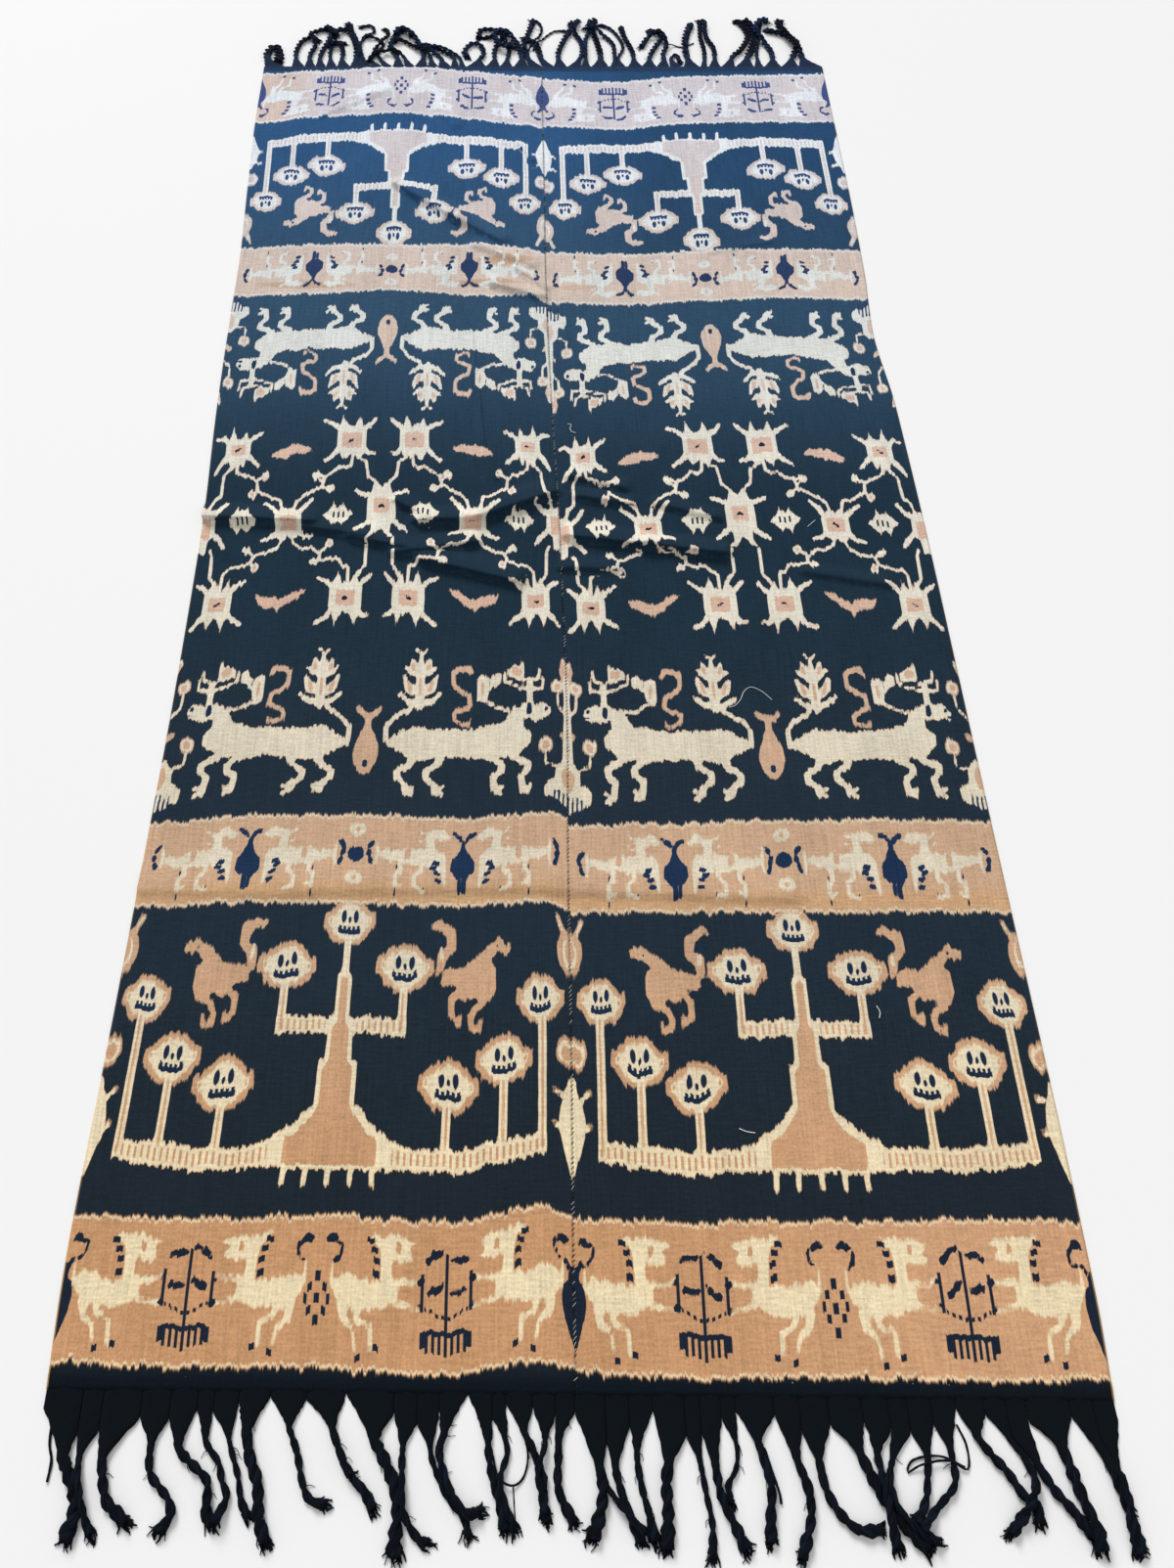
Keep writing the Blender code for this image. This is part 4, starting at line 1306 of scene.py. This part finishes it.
def woven(shader, colour, across, along, s):
    """The colour with the light and shade of the weave, pale lint and an ochre selvedge."""
    streaks = shader.noise(shader.vector(across * 340.0, along * 14.0), 1.0, 4.0)
    rows = shader.noise(shader.vector(across * 45.0, along * 300.0), 1.0, 3.0)
    flecks = shader.noise(shader.vector(across * 290.0, along * 290.0), 1.0, 2.0)
    worn = shader.noise(shader.vector(across * 14.0, along * 7.0), 1.0, 3.0)
    weave = (streaks - 0.5) * 0.55 + (rows - 0.5) * 0.55 + (flecks - 0.5) * 0.55 + (worn - 0.5) * 0.3
    colour = shader.scaled(colour, 0.95 + weave)
    lint = shader.noise(shader.vector(across * 150.0, along * 150.0), 1.0, 1.0)
    lint = lint + along.step(-0.002, 0.003) * (1.0 - along.step(0.006, 0.014)) * 0.13
    colour = shader.mix(lint.step(0.86, 0.9) * 0.5, colour, srgb(190, 192, 190))
    selvedge = (s - 293.0).step(0.0, 0.9) * (across.size() - 0.45).step(0.0, 0.01)
    return shader.mix(selvedge * (0.6 - along.step(0.08, 0.3) * 0.5), colour, srgb(206, 160, 92))


def cloth_material():
    """Cotton whose figures come from the depths that each point of the cloth keeps.

    Each bundle of warps slides the figures that it crosses by its own amount, and each yarn
    by its own too, so the figures end in steps and feathers.
    """
    shader = Shader("ikat_cotton", 0.95)
    shader.set(Specular_IOR_Level=0.12)
    across, y, _ = shader.position().parts()
    along = y + MIDDLE
    under, cream, over = shader.attribute("figure_depths").parts()
    under_lean, cream_lean, over_lean = shader.attribute("figure_leans").parts()
    ink, hatch, ink_lean = shader.attribute("detail_depths").parts()
    s, folded, moved = shader.attribute("pattern_place").parts()
    slide, creep = slipping_warps(shader, across, along)
    under, cream = under + under_lean * slide, cream + cream_lean * slide
    over, ink = over + over_lean * slide * 0.6, ink + ink_lean * slide * 0.7
    rises = [along.step(*pair) for pair in zip(DYE_AND_LIGHT_STATIONS, DYE_AND_LIGHT_STATIONS[1:])]
    ground = indigo_ground(shader, across, along, rises)
    brown = red_brown(shader, across, along, moved, rises)
    white = dye_and_painted_light(shader, CREAM, rises)

    # Brown figures and bands on the indigo, with a dirty fringe where the dyes meet
    bars = (1.6 - repeats(s, 8.0)) * 3.0
    over = over.most(bars.least(hatch))
    band = drawn_bands(folded + slide)
    under = under.most(band)
    on_brown = (under - 4.0).step(-3.0, 3.0)
    halo = shader.mix(0.45, brown, ground)
    colour = shader.mix((under + creep + 1.0).step(-2.0, 1.0), ground, halo)
    colour = shader.mix((under + creep).step(-1.2, 1.2), colour, brown)
    rim = 1.7 + along * 0.6 - (band + creep - 1.9 - along * 0.5).size()
    colour = shader.mix(rim.step(-0.6, 0.8) * 0.9, colour, shader.mix(0.25, white, brown))

    # Cream figures, crisp on the indigo and soft on the brown, and the brown inside them
    tan = shader.mix(0.55, brown, white)
    crisp = (cream + creep * 0.75 + 0.5).step(-1.0, 0.4)
    soft = (cream + creep * 0.7 + 0.5).step(-1.6, 1.6)
    colour = shader.mix(crisp * (1.0 - on_brown), colour, halo)
    crisp = (cream + creep * 0.75).step(-0.9, 0.9)
    colour = shader.mix(crisp + (soft - crisp) * on_brown, colour, tan)
    colour = shader.mix((cream + creep * 0.7 - 1.4).step(-1.6, 1.6), colour, white)
    colour = shader.mix((over + creep * 0.6).step(-1.4, 1.4), colour, brown)

    # Dark marks
    w = folded + slide * 0.45
    rosettes = drawn_rosette_marks(s, moved + slide * 0.4)
    fine = deepest(drawn_comb_tree(s, w), drawn_horse_dashes(s, w), drawn_faces(s, w), rosettes)
    dark = (ink + creep * 0.4).step(-0.9, 0.9).most(fine.step(-0.5, 0.5))
    colour = shader.mix(dark, colour, dye_and_painted_light(shader, INK, rises))

    colour = woven(shader, colour, across, along, s)
    ribs = shader.noise(shader.vector(across * 1100.0, along * 260.0), 1.0, 2.0)
    normal = shader.bump(ribs, 0.5, 0.0006)
    return shader.set(Base_Color=colour, Normal=normal)


def fringe_material():
    """Loose cotton cords: streaks that wind round them, bluer and lighter towards the far end by painted
    cool light.
    """
    shader = Shader("fringe_yarn", 0.95)
    shader.set(Specular_IOR_Level=0.12)
    around, length, cord = shader.attribute("cord_place").parts()
    _, y, _ = shader.position().parts()
    place = shader.vector(around * 2.2 + length * 0.02, length * 0.012, cord * 9.7)
    streaks = shader.noise(place, 3.0, 3.0)
    shade = shader.random(cord)
    near = shader.mix(streaks.step(0.35, 0.75), srgb(3, 7, 13), srgb(14, 22, 36))
    # Far cords: lighter or darker at random from cord to cord, all lighter and bluer than the near ones
    # by painted cool light
    far_light = shader.mix(shade.step(0.35, 0.65), srgb(15, 22, 40), srgb(32, 52, 90))
    far = shader.mix(streaks.step(0.3, 0.7), srgb(6, 10, 22), far_light)
    tone = shader.mix(y.step(0.9, 1.2), near, far)
    # Roots: lighter and bluer at the far end by painted cool light
    root = shader.mix(y.step(-0.5, 0.5), srgb(6, 13, 20), srgb(28, 44, 70))
    tone = shader.mix(length.step(-2.0, 26.0), root, tone)
    normal = shader.bump(streaks, 0.6, 0.0015)
    return shader.set(Base_Color=tone, Normal=normal)


def curve_through(points, spacing):
    """A Catmull-Rom curve through the points, at even steps of about this spacing."""
    points = np.asarray(points, float)
    ends = (2 * points[:1] - points[1:2], points, 2 * points[-1:] - points[-2:-1])
    padded = np.concatenate(ends)
    t = np.linspace(0, 1, 16, endpoint=False)[:, None, None]
    p0, p1, p2, p3 = padded[:-3], padded[1:-2], padded[2:-1], padded[3:]
    curve = 2 * p1 + (p2 - p0) * t + (2 * p0 - 5 * p1 + 4 * p2 - p3) * t**2
    curve = (curve + (3 * p1 - p0 - 3 * p2 + p3) * t**3) / 2
    curve = np.concatenate((curve.transpose(1, 0, 2).reshape(-1, points.shape[1]), points[-1:]))
    travelled = np.concatenate(([0], np.cumsum(np.linalg.norm(np.diff(curve, axis=0), axis=1))))
    count = max(3, round(travelled[-1] / spacing) + 1)
    at = np.linspace(0, travelled[-1], count)
    return np.stack([np.interp(at, travelled, column) for column in curve.T], axis=1), at


class Bundle:
    """Tubes gathered into one mesh: their points, faces and place on their cord."""

    def __init__(self):
        self.points, self.faces, self.places = [], [], []
        self.count = 0

    def tube(self, rings, around, length, number):
        """Adds a closed tube from rings of points; both its ends are one face."""
        rows, sides = rings.shape[:2]
        corner = self.count + np.arange(rows * sides).reshape(rows, sides)
        following = np.roll(corner, -1, axis=1)
        quads = np.stack((corner[:-1], following[:-1], following[1:], corner[1:]), axis=-1)
        self.faces += quads.reshape(-1, 4).tolist()
        self.faces += [corner[0, ::-1].tolist(), corner[-1].tolist()]
        self.points.append(rings.reshape(-1, 3))
        place = np.stack(np.broadcast_arrays(around, length[:, None], float(number)), axis=-1)
        self.places.append(place.reshape(-1, 3))
        self.count += rows * sides

    def finish(self, name, material):
        obj = make_mesh(name, np.concatenate(self.points), self.faces, material)
        obj.data.shade_smooth()
        keep_attribute(obj, "cord_place", np.concatenate(self.places))
        return obj


def normals_of(path):
    """Unit vectors to the right of a path's direction, in the floor's plane."""
    run = np.gradient(path, axis=0)
    run /= np.linalg.norm(run, axis=1)[:, None] + 1e-9
    return np.stack((run[:, 1], -run[:, 0]), axis=1)


def circle(sides):
    """Angles round a ring, as one row."""
    return np.linspace(0, 2 * math.pi, sides, endpoint=False)[None, :]


def round_rings(path, height, radius, angle):
    """Rings of a round yarn whose middle follows the path at this height."""
    aside = normals_of(path)
    xy = path[:, None] + aside[:, None] * (radius[:, None] * np.cos(angle))[..., None]
    z = height[:, None] + radius[:, None] * np.sin(angle)
    return np.concatenate((xy, z[..., None]), axis=-1)


def flat_rings(middle, aside, half, low, height, squareness):
    """Rings of a cord that rests at low, which are squarer where it is a flat fan."""
    angle = circle(CORD_SIDES)
    power = 1 - FAN_SQUARENESS * squareness[:, None]
    wide = np.sign(np.cos(angle)) * np.abs(np.cos(angle)) ** power
    tall = np.sign(np.sin(angle)) * np.abs(np.sin(angle)) ** power
    xy = middle[:, None] + aside[:, None] * (half[:, None] * wide)[..., None]
    z = low[:, None] + height[:, None] * (0.5 + 0.5 * tall)
    return np.concatenate((xy, z[..., None]), axis=-1), angle


def neighbours(values):
    """Five rows: each value's two neighbours before it, itself, and the two after it."""
    padded = np.pad(values, 2, mode="edge")
    return np.stack([padded[k : k + len(values)] for k in range(5)])


def resting_heights(middle, half, laid):
    """How high a cord lies where it crosses those laid before it, eased along its length."""
    low = np.zeros(len(middle))
    for other, other_half, other_top in laid:
        distance = np.linalg.norm(middle[:, None] - other[None, :], axis=-1)
        reach = other_half[None, :] + CROSSING_REACH * half[:, None]
        share = np.clip(1 - (distance / reach) ** 2, 0, 1)
        low = np.maximum(low, (other_top[None, :] * np.sqrt(share)).max(axis=1))
    return neighbours(neighbours(low).max(axis=0)).mean(axis=0)


Strand = namedtuple("Strand", "route aside half height square travelled")


def free_strand(cord, gaps, draw):
    """The loose part of a cord, which begins where its fan ends."""
    route, travelled = curve_through(np.array(cord.route) * MM, CORD_STEP)
    if cord.root_from is not None:
        fan_end = max(cord.route[0][1] * MM, max(gaps) * MM + FAN_LENGTH)
        start = int(np.argmax(route[:, 1] >= fan_end))
        route, travelled = route[start:], travelled[start:] - travelled[start]
    width = cord.width * MM
    half = width / 2 * (1 + UNEVEN_WIDTH * draw.uniform(-1, 1, len(route)))
    if width >= TWO_PLY_WIDTH:
        from_swelling = travelled[-1] - travelled - SWELLING_FROM_TIP
        half *= 1 + SWELLING * np.exp(-((from_swelling / SWELLING_LENGTH) ** 2))
    height = np.minimum(MOST_CORD_HEIGHT, np.full(len(route), width * HEIGHT_SHARE))
    return Strand(route, normals_of(route), half, height, np.zeros(len(route)), travelled)


def with_fan(strand, cord, edge_at, gaps, draw):
    """The strand after its fan: flat rows that narrow from the cloth's end to the cord."""
    route, aside, half, height, square, travelled = strand
    inner = edge_at - FAN_TUCK
    share = np.linspace(0, 1, FAN_ROWS, endpoint=False)
    out = inner + (route[0, 1] - inner) * share
    splits = np.maximum(np.array(gaps) * MM, edge_at)
    sides = []
    for root, split, turn in ((cord.root_from, splits[0], -1), (cord.root_to, splits[1], 1)):
        t = np.clip((out - split) / (route[0, 1] - split), 0, 1)
        drawn = 1 - (1 - t) ** 1.25
        ragged = FAN_RAGGED * draw.uniform(-1, 1, FAN_ROWS) * (t > 0)
        beside = route[0, 0] + turn * cord.width * MM / 2
        sides.append(root * MM * (1 - drawn) + beside * drawn + ragged)
    straight = np.array((1.0, 0.0))
    ease = np.clip(travelled / FAN_TURNS_IN, 0, 1)[:, None]
    aside = aside * (1.0 if aside[0, 0] > 0 else -1.0)
    aside = aside * ease + straight * (1 - ease)
    aside /= np.linalg.norm(aside, axis=1)[:, None]
    rise = share**1.6
    fan = Strand(
        np.stack(((sides[0] + sides[1]) / 2, out), axis=1),
        np.tile(straight, (FAN_ROWS, 1)),
        (sides[1] - sides[0]) / 2,
        FAN_HEIGHT + (height[0] - FAN_HEIGHT) * rise,
        1 - rise,
        travelled[0] - (route[0, 1] - out),
    )
    strand = (route, aside, half, height, square, travelled)
    return Strand(*(np.concatenate(pair) for pair in zip(fan, strand)))


def add_cord(bundle, cord, number, end, edge_at, gaps, laid, draw):
    """One cord: a fan gathered from the cloth's end, two slack plies, and a frayed tuft."""
    strand = free_strand(cord, gaps, draw)
    gathered = cord.root_from is not None
    if gathered:
        strand = with_fan(strand, cord, edge_at, gaps, draw)
    route, aside, half, height, square, travelled = strand
    free = travelled > FREE_FROM
    low = np.zeros(len(route))
    if laid and free.any():
        low[free] = resting_heights(route[free], half[free], laid)
    width = cord.width * MM
    two_ply = width >= TWO_PLY_WIDTH
    twist = FAR_TWIST if end > 0 else NEAR_TWIST
    middle = np.stack((route[:, 0], end * route[:, 1]), axis=1)
    turned = aside * np.array((1.0, end))
    phase = travelled * 2 * math.pi / twist.turn_length + number * 1.3
    loose = np.clip(travelled / TWIST_BEGINS, 0, 1) * two_ply
    for ply in (1, -1) if two_ply else (1,):
        part = slice(FAN_ROWS if gathered and ply < 0 else 0, None)
        swing = ply * twist.swing * width * loose * np.cos(phase)
        shape = (
            middle + turned * swing[:, None],
            turned,
            half * (1 - (1 - twist.slender) * loose),
            low + 0.25 * height * loose * (1 + ply * np.sin(phase)),
            height * (1 - 0.25 * loose),
            square,
        )
        rings, angle = flat_rings(*(value[part] for value in shape))
        if end < 0:
            rings = rings[:, ::-1]
        bundle.tube(rings, angle / (2 * math.pi), travelled[part] * 1000, number + 0.37 * (ply < 0))
    laid.append((route[free], half[free], (low + height)[free]))
    if two_ply:
        add_tuft(bundle, strand, low, number, end, draw)


def towards(angle):
    """A unit vector on the floor at this angle."""
    return np.array((math.cos(angle), math.sin(angle)))


def add_tuft(bundle, strand, low, number, end, draw):
    """The frayed yarns at a cord's tip, and a few hairs along it."""
    route, aside, half = strand.route, strand.aside, strand.half
    tip, before = route[-1], route[-3]
    heading = math.atan2(tip[1] - before[1], tip[0] - before[0])
    for _ in range(TUFT_WISPS):
        turn = heading + draw.uniform(-WISP_TURN, WISP_TURN)
        reach = draw.uniform(*WISP_LENGTH)
        bend = turn + draw.uniform(-WISP_BEND, WISP_BEND)
        start = tip + aside[-1] * half[-1] * draw.uniform(-1.0, 1.0)
        start = start - (tip - before) * draw.uniform(0.1, 1.4)
        halfway = start + 0.6 * reach * towards(turn)
        last = halfway + 0.4 * reach * towards(bend)
        add_wisp(bundle, (start, halfway, last), draw.uniform(*WISP_THICKNESS), low[-1], number, end)
    for _ in range(HAIRS):
        k = draw.integers(2, len(route) - 2)
        turn = heading + draw.choice((-1, 1)) * draw.uniform(*HAIR_TURN)
        halfway = route[k] + HAIR_HALVES[0] * towards(turn)
        last = halfway + HAIR_HALVES[1] * towards(heading)
        add_wisp(bundle, (route[k], halfway, last), HAIR_THICKNESS, low[k], number, end)


def add_wisp(bundle, points, thick, low, number, end):
    """A loose end of yarn: three short tapering rings that come down to the floor."""
    radius = thick * np.array((1.0, 0.85, 0.45))
    height = radius + np.array((0.5, 0.3, 0.0)) * low + np.array((0.0014, 0.0007, 0.0))
    angle = circle(4)
    rings = round_rings(np.array(points), height, radius, angle)
    rings[..., 1] *= end
    if end < 0:
        rings = rings[:, ::-1]
    bundle.tube(rings, angle / (2 * math.pi), np.array((60.0, 62.0, 64.0)), number)


def fringe(node, cords, gaps, end, seed, material):
    """All the cords at one end of one panel, as one piece."""
    draw = np.random.default_rng(seed)
    bundle = Bundle()
    laid = []
    edge_at = -PANEL_FROM if end < 0 else WOVEN_TO - PATTERN_LENGTH
    for number, cord in enumerate(cords):
        own_gaps = gaps[number : number + 2] or (FAR_GAP, FAR_GAP)
        add_cord(bundle, cord, number + 40 * seed, end, edge_at, own_gaps, laid, draw)
    obj = bundle.finish(node + "_cords", material)
    shift = -MIDDLE if end < 0 else PATTERN_LENGTH - MIDDLE
    obj.data.transform(Matrix.Translation((0, shift, 0)))
    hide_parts(node)
    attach(obj, "root")
    return obj


def panel_surface(side):
    """The grid of a panel's upper side: points, how far across, and how far along."""
    share = np.linspace(0, 1, PANEL_COLUMNS + 1)[None, :]
    rows = [PANEL_FROM]
    for end, count in ROW_STRETCHES:
        rows += np.linspace(rows[-1], end, count + 1)[1:].tolist()
    along = np.array(rows)[:, None]
    left, right = panel_edges(side, along)
    x = left + (right - left) * share
    along = along + 0 * x
    z = lift(x, along)
    tipped_x, tipped_along = tipped(x, along)
    points = np.stack((tipped_x, tipped_along - MIDDLE, z), axis=-1)
    return points, (share - 0.5) * PANEL_WIDTH + 0 * x, along


def over_all_points(top_values, low_values):
    """Joins what belongs to the upper grid with the same for the coarser underside."""
    return np.concatenate((top_values.reshape(-1, 3), low_values.reshape(-1, 3)))


def closed_panel(name, points, material):
    """The fine upper grid, a coarser underside, and a wall round the rim between them."""
    rows, columns = points.shape[0] - 1, points.shape[1] - 1
    along = points[..., 1] + MIDDLE
    to_end = np.minimum(along - PANEL_FROM, WOVEN_TO - along)
    top = points.copy()
    top[..., 2] += CLOTH_THICKNESS * np.clip(to_end / END_DEPTH, 0.5, 1)
    low = points[::UNDERSIDE_STEP, ::UNDERSIDE_STEP]
    low_rows, low_columns = low.shape[0] - 1, low.shape[1] - 1
    first_low = top.shape[0] * top.shape[1]
    faces = grid_faces(rows, columns).tolist()
    faces += grid_faces(low_rows, low_columns, first_low)[:, ::-1].tolist()
    high_at = np.arange(first_low).reshape(rows + 1, columns + 1)
    low_at = first_low + np.arange(low.shape[0] * low.shape[1]).reshape(low.shape[:2])
    sides = (
        (high_at[0], low_at[0], 1),
        (high_at[:, -1], low_at[:, -1], 1),
        (high_at[-1], low_at[-1], -1),
        (high_at[:, 0], low_at[:, 0], -1),
    )
    for high, under, turn in sides:
        for k in range(len(under) - 1):
            run = high[k * UNDERSIDE_STEP : (k + 1) * UNDERSIDE_STEP + 1].tolist()
            face = [int(under[k]), int(under[k + 1]), *reversed(run)]
            faces.append(face[::turn])
    obj = make_mesh(name, over_all_points(top, low), faces, material)
    grid_count = rows * columns + low_rows * low_columns
    smooth = np.arange(len(faces)) < grid_count
    obj.data.polygons.foreach_set("use_smooth", smooth)
    return obj


def panel(side, node, drifts, material):
    """One dyed and woven panel."""
    points, across, along = panel_surface(side)
    obj = closed_panel(node + "_cloth", points, material)
    kept = dyed_figures(side, across, along, drifts)
    names = ("figure_depths", "figure_leans", "detail_depths", "pattern_place")
    for name, values in zip(names, kept):
        low_values = values[::UNDERSIDE_STEP, ::UNDERSIDE_STEP]
        keep_attribute(obj, name, over_all_points(values, low_values))
    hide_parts(node)
    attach(obj, "root")
    return obj


def seam_stitches(material):
    """The slanting stitches that join the panels: short arched tubes over the seam."""
    bundle = Bundle()
    draw = np.random.default_rng(9)
    share = np.linspace(-1, 1, STITCH_RINGS)
    angle = circle(STITCH_SIDES)
    for number, along in enumerate(np.arange(STITCHES_FROM, STITCHES_TO, STITCH_PITCH)):
        reach = STITCH_REACH * draw.uniform(0.7, 1.2)
        slant = STITCH_SLANT * draw.uniform(0.6, 1.3)
        ys = along + slant * share
        xs = edge_line("seam", ys) + reach * share
        radius = STITCH_RADIUS * (1 - 0.45 * share**4)
        height = lift(xs, ys) + CLOTH_THICKNESS + STITCH_RADIUS * (1.1 - 1.6 * share**2)
        rings = round_rings(np.stack((xs, ys), axis=1), height, radius, angle)
        rings[..., 1] -= MIDDLE
        bundle.tube(rings, angle / (2 * math.pi), share, number)
    obj = bundle.finish("seam_stitches", material)
    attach(obj, "root")
    return obj


# Loose pale ends of yarn that lie on the cloth, as points (x, along) in metres
LOOSE_THREADS = (
    ((0.030, 1.458), (0.036, 1.456), (0.034, 1.448), (0.036, 1.441), (0.043, 1.437)),
    ((0.412, 1.232), (0.418, 1.238), (0.426, 1.246)),
    ((0.207, 0.278), (0.216, 0.2745), (0.226, 0.273)),
    ((0.400, 0.418), (0.402, 0.426), (0.399, 0.434)),
    ((0.252, 0.886), (0.262, 0.890), (0.271, 0.901), (0.277, 0.914), (0.288, 0.922), (0.303, 0.915),
     (0.317, 0.900)),
)


def loose_threads(material):
    """The loose ends of yarn, each a thin tube that follows the cloth."""
    bundle = Bundle()
    angle = circle(STITCH_SIDES)
    for number, points in enumerate(LOOSE_THREADS):
        path, travelled = curve_through(points, THREAD_STEP)
        height = lift(path[:, 0], path[:, 1]) + CLOTH_THICKNESS + THREAD_RADIUS
        rings = round_rings(path, height, np.full(len(path), THREAD_RADIUS), angle)
        rings[..., 1] -= MIDDLE
        bundle.tube(rings, angle / (2 * math.pi), travelled, number)
    obj = bundle.finish("loose_threads", material)
    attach(obj, "root")
    return obj


def thread_material():
    """Pale yarn, a little different in each thread."""
    shader = Shader("loose_thread", 0.9)
    shader.set(Specular_IOR_Level=0.15)
    _, _, number = shader.attribute("cord_place").parts()
    tone = shader.mix(shader.random(number), srgb(198, 202, 204), srgb(226, 226, 222))
    return shader.set(Base_Color=tone)


def stitch_material():
    """Cotton thread, pale in most stitches and dark in the others; the dark ones turn bluer and lighter
    towards the far end by painted cool light.
    """
    shader = Shader("seam_thread", 0.9)
    shader.set(Specular_IOR_Level=0.15)
    _, _, number = shader.attribute("cord_place").parts()
    _, y, _ = shader.position().parts()
    kind = shader.random(number)
    # Painted cool light: the dark stitches lighter and bluer towards the far end
    dark = shader.mix(y.step(0.2, 1.0), srgb(22, 26, 34), srgb(40, 60, 90))
    tone = shader.mix(kind.step(0.45, 0.55), dark, srgb(178, 172, 160))
    return shader.set(Base_Color=tone)


def make_floor():
    shader = Shader("studio_floor", 0.8)
    material = shader.set(Base_Color=srgb(242, 242, 242))
    corners = ((-1, -1), (1, -1), (1, 1), (-1, 1))
    points = np.array([(x * FLOOR_HALF, y * FLOOR_HALF, -FLOOR_DROP) for x, y in corners])
    make_mesh("floor", points, [(0, 1, 2, 3)], material)


def make_camera():
    """The camera stands over the near end and looks down along the throw."""
    data = bpy.data.cameras.new("camera")
    data.sensor_fit = "VERTICAL"
    data.sensor_height = SENSOR_MM
    data.lens = SENSOR_MM * FOCAL_PIXELS / FRAME_HEIGHT_PIXELS
    data.shift_x = CENTRE_SHIFT_PIXELS / FRAME_HEIGHT_PIXELS
    camera = bpy.data.objects.new("camera", data)
    turn = Matrix.Rotation(CAMERA_YAW, 4, "Z") @ Matrix.Rotation(CAMERA_PITCH, 4, "X")
    turn = turn @ Matrix.Rotation(CAMERA_ROLL, 4, "Z")
    camera.matrix_world = Matrix.Translation(CAMERA_PLACE) @ turn
    bpy.context.scene.collection.objects.link(camera)
    bpy.context.scene.camera = camera


def make_light():
    """Even white studio light, and a wide soft lamp from the far left that shows the folds."""
    world = bpy.data.worlds.new("studio")
    world.use_nodes = True
    background = world.node_tree.nodes["Background"]
    background.inputs["Color"].default_value = (1.0, 1.0, 1.0, 1.0)
    background.inputs["Strength"].default_value = EVEN_LIGHT
    bpy.context.scene.world = world
    lamp_data = bpy.data.lights.new("soft_lamp", "SUN")
    lamp_data.energy = LAMP_LIGHT
    lamp_data.angle = LAMP_WIDTH
    lamp = bpy.data.objects.new("soft_lamp", lamp_data)
    lamp.location = LAMP_PLACE
    lamp.rotation_euler = LAMP_TURN
    bpy.context.scene.collection.objects.link(lamp)
    bpy.context.scene.view_settings.view_transform = "Standard"


def main():
    """Makes the pieces and sets the studio and the camera."""
    make_camera()
    make_light()
    make_floor()
    cloth = cloth_material()
    yarn = fringe_material()
    left = panel(-1, "panel_left", LEFT_DRIFT, cloth)
    right = panel(1, "panel_right", RIGHT_DRIFT, cloth)
    near_left = fringe("fringe_near_left", NEAR_LEFT_CORDS, NEAR_LEFT_GAPS, -1, 1, yarn)
    near_right = fringe("fringe_near_right", NEAR_RIGHT_CORDS, NEAR_RIGHT_GAPS, -1, 2, yarn)
    far_left = fringe("fringe_far_left", FAR_LEFT_CORDS, (), 1, 3, yarn)
    far_right = fringe("fringe_far_right", FAR_RIGHT_CORDS, (), 1, 4, yarn)
    stitches = seam_stitches(stitch_material())
    threads = loose_threads(thread_material())


main()
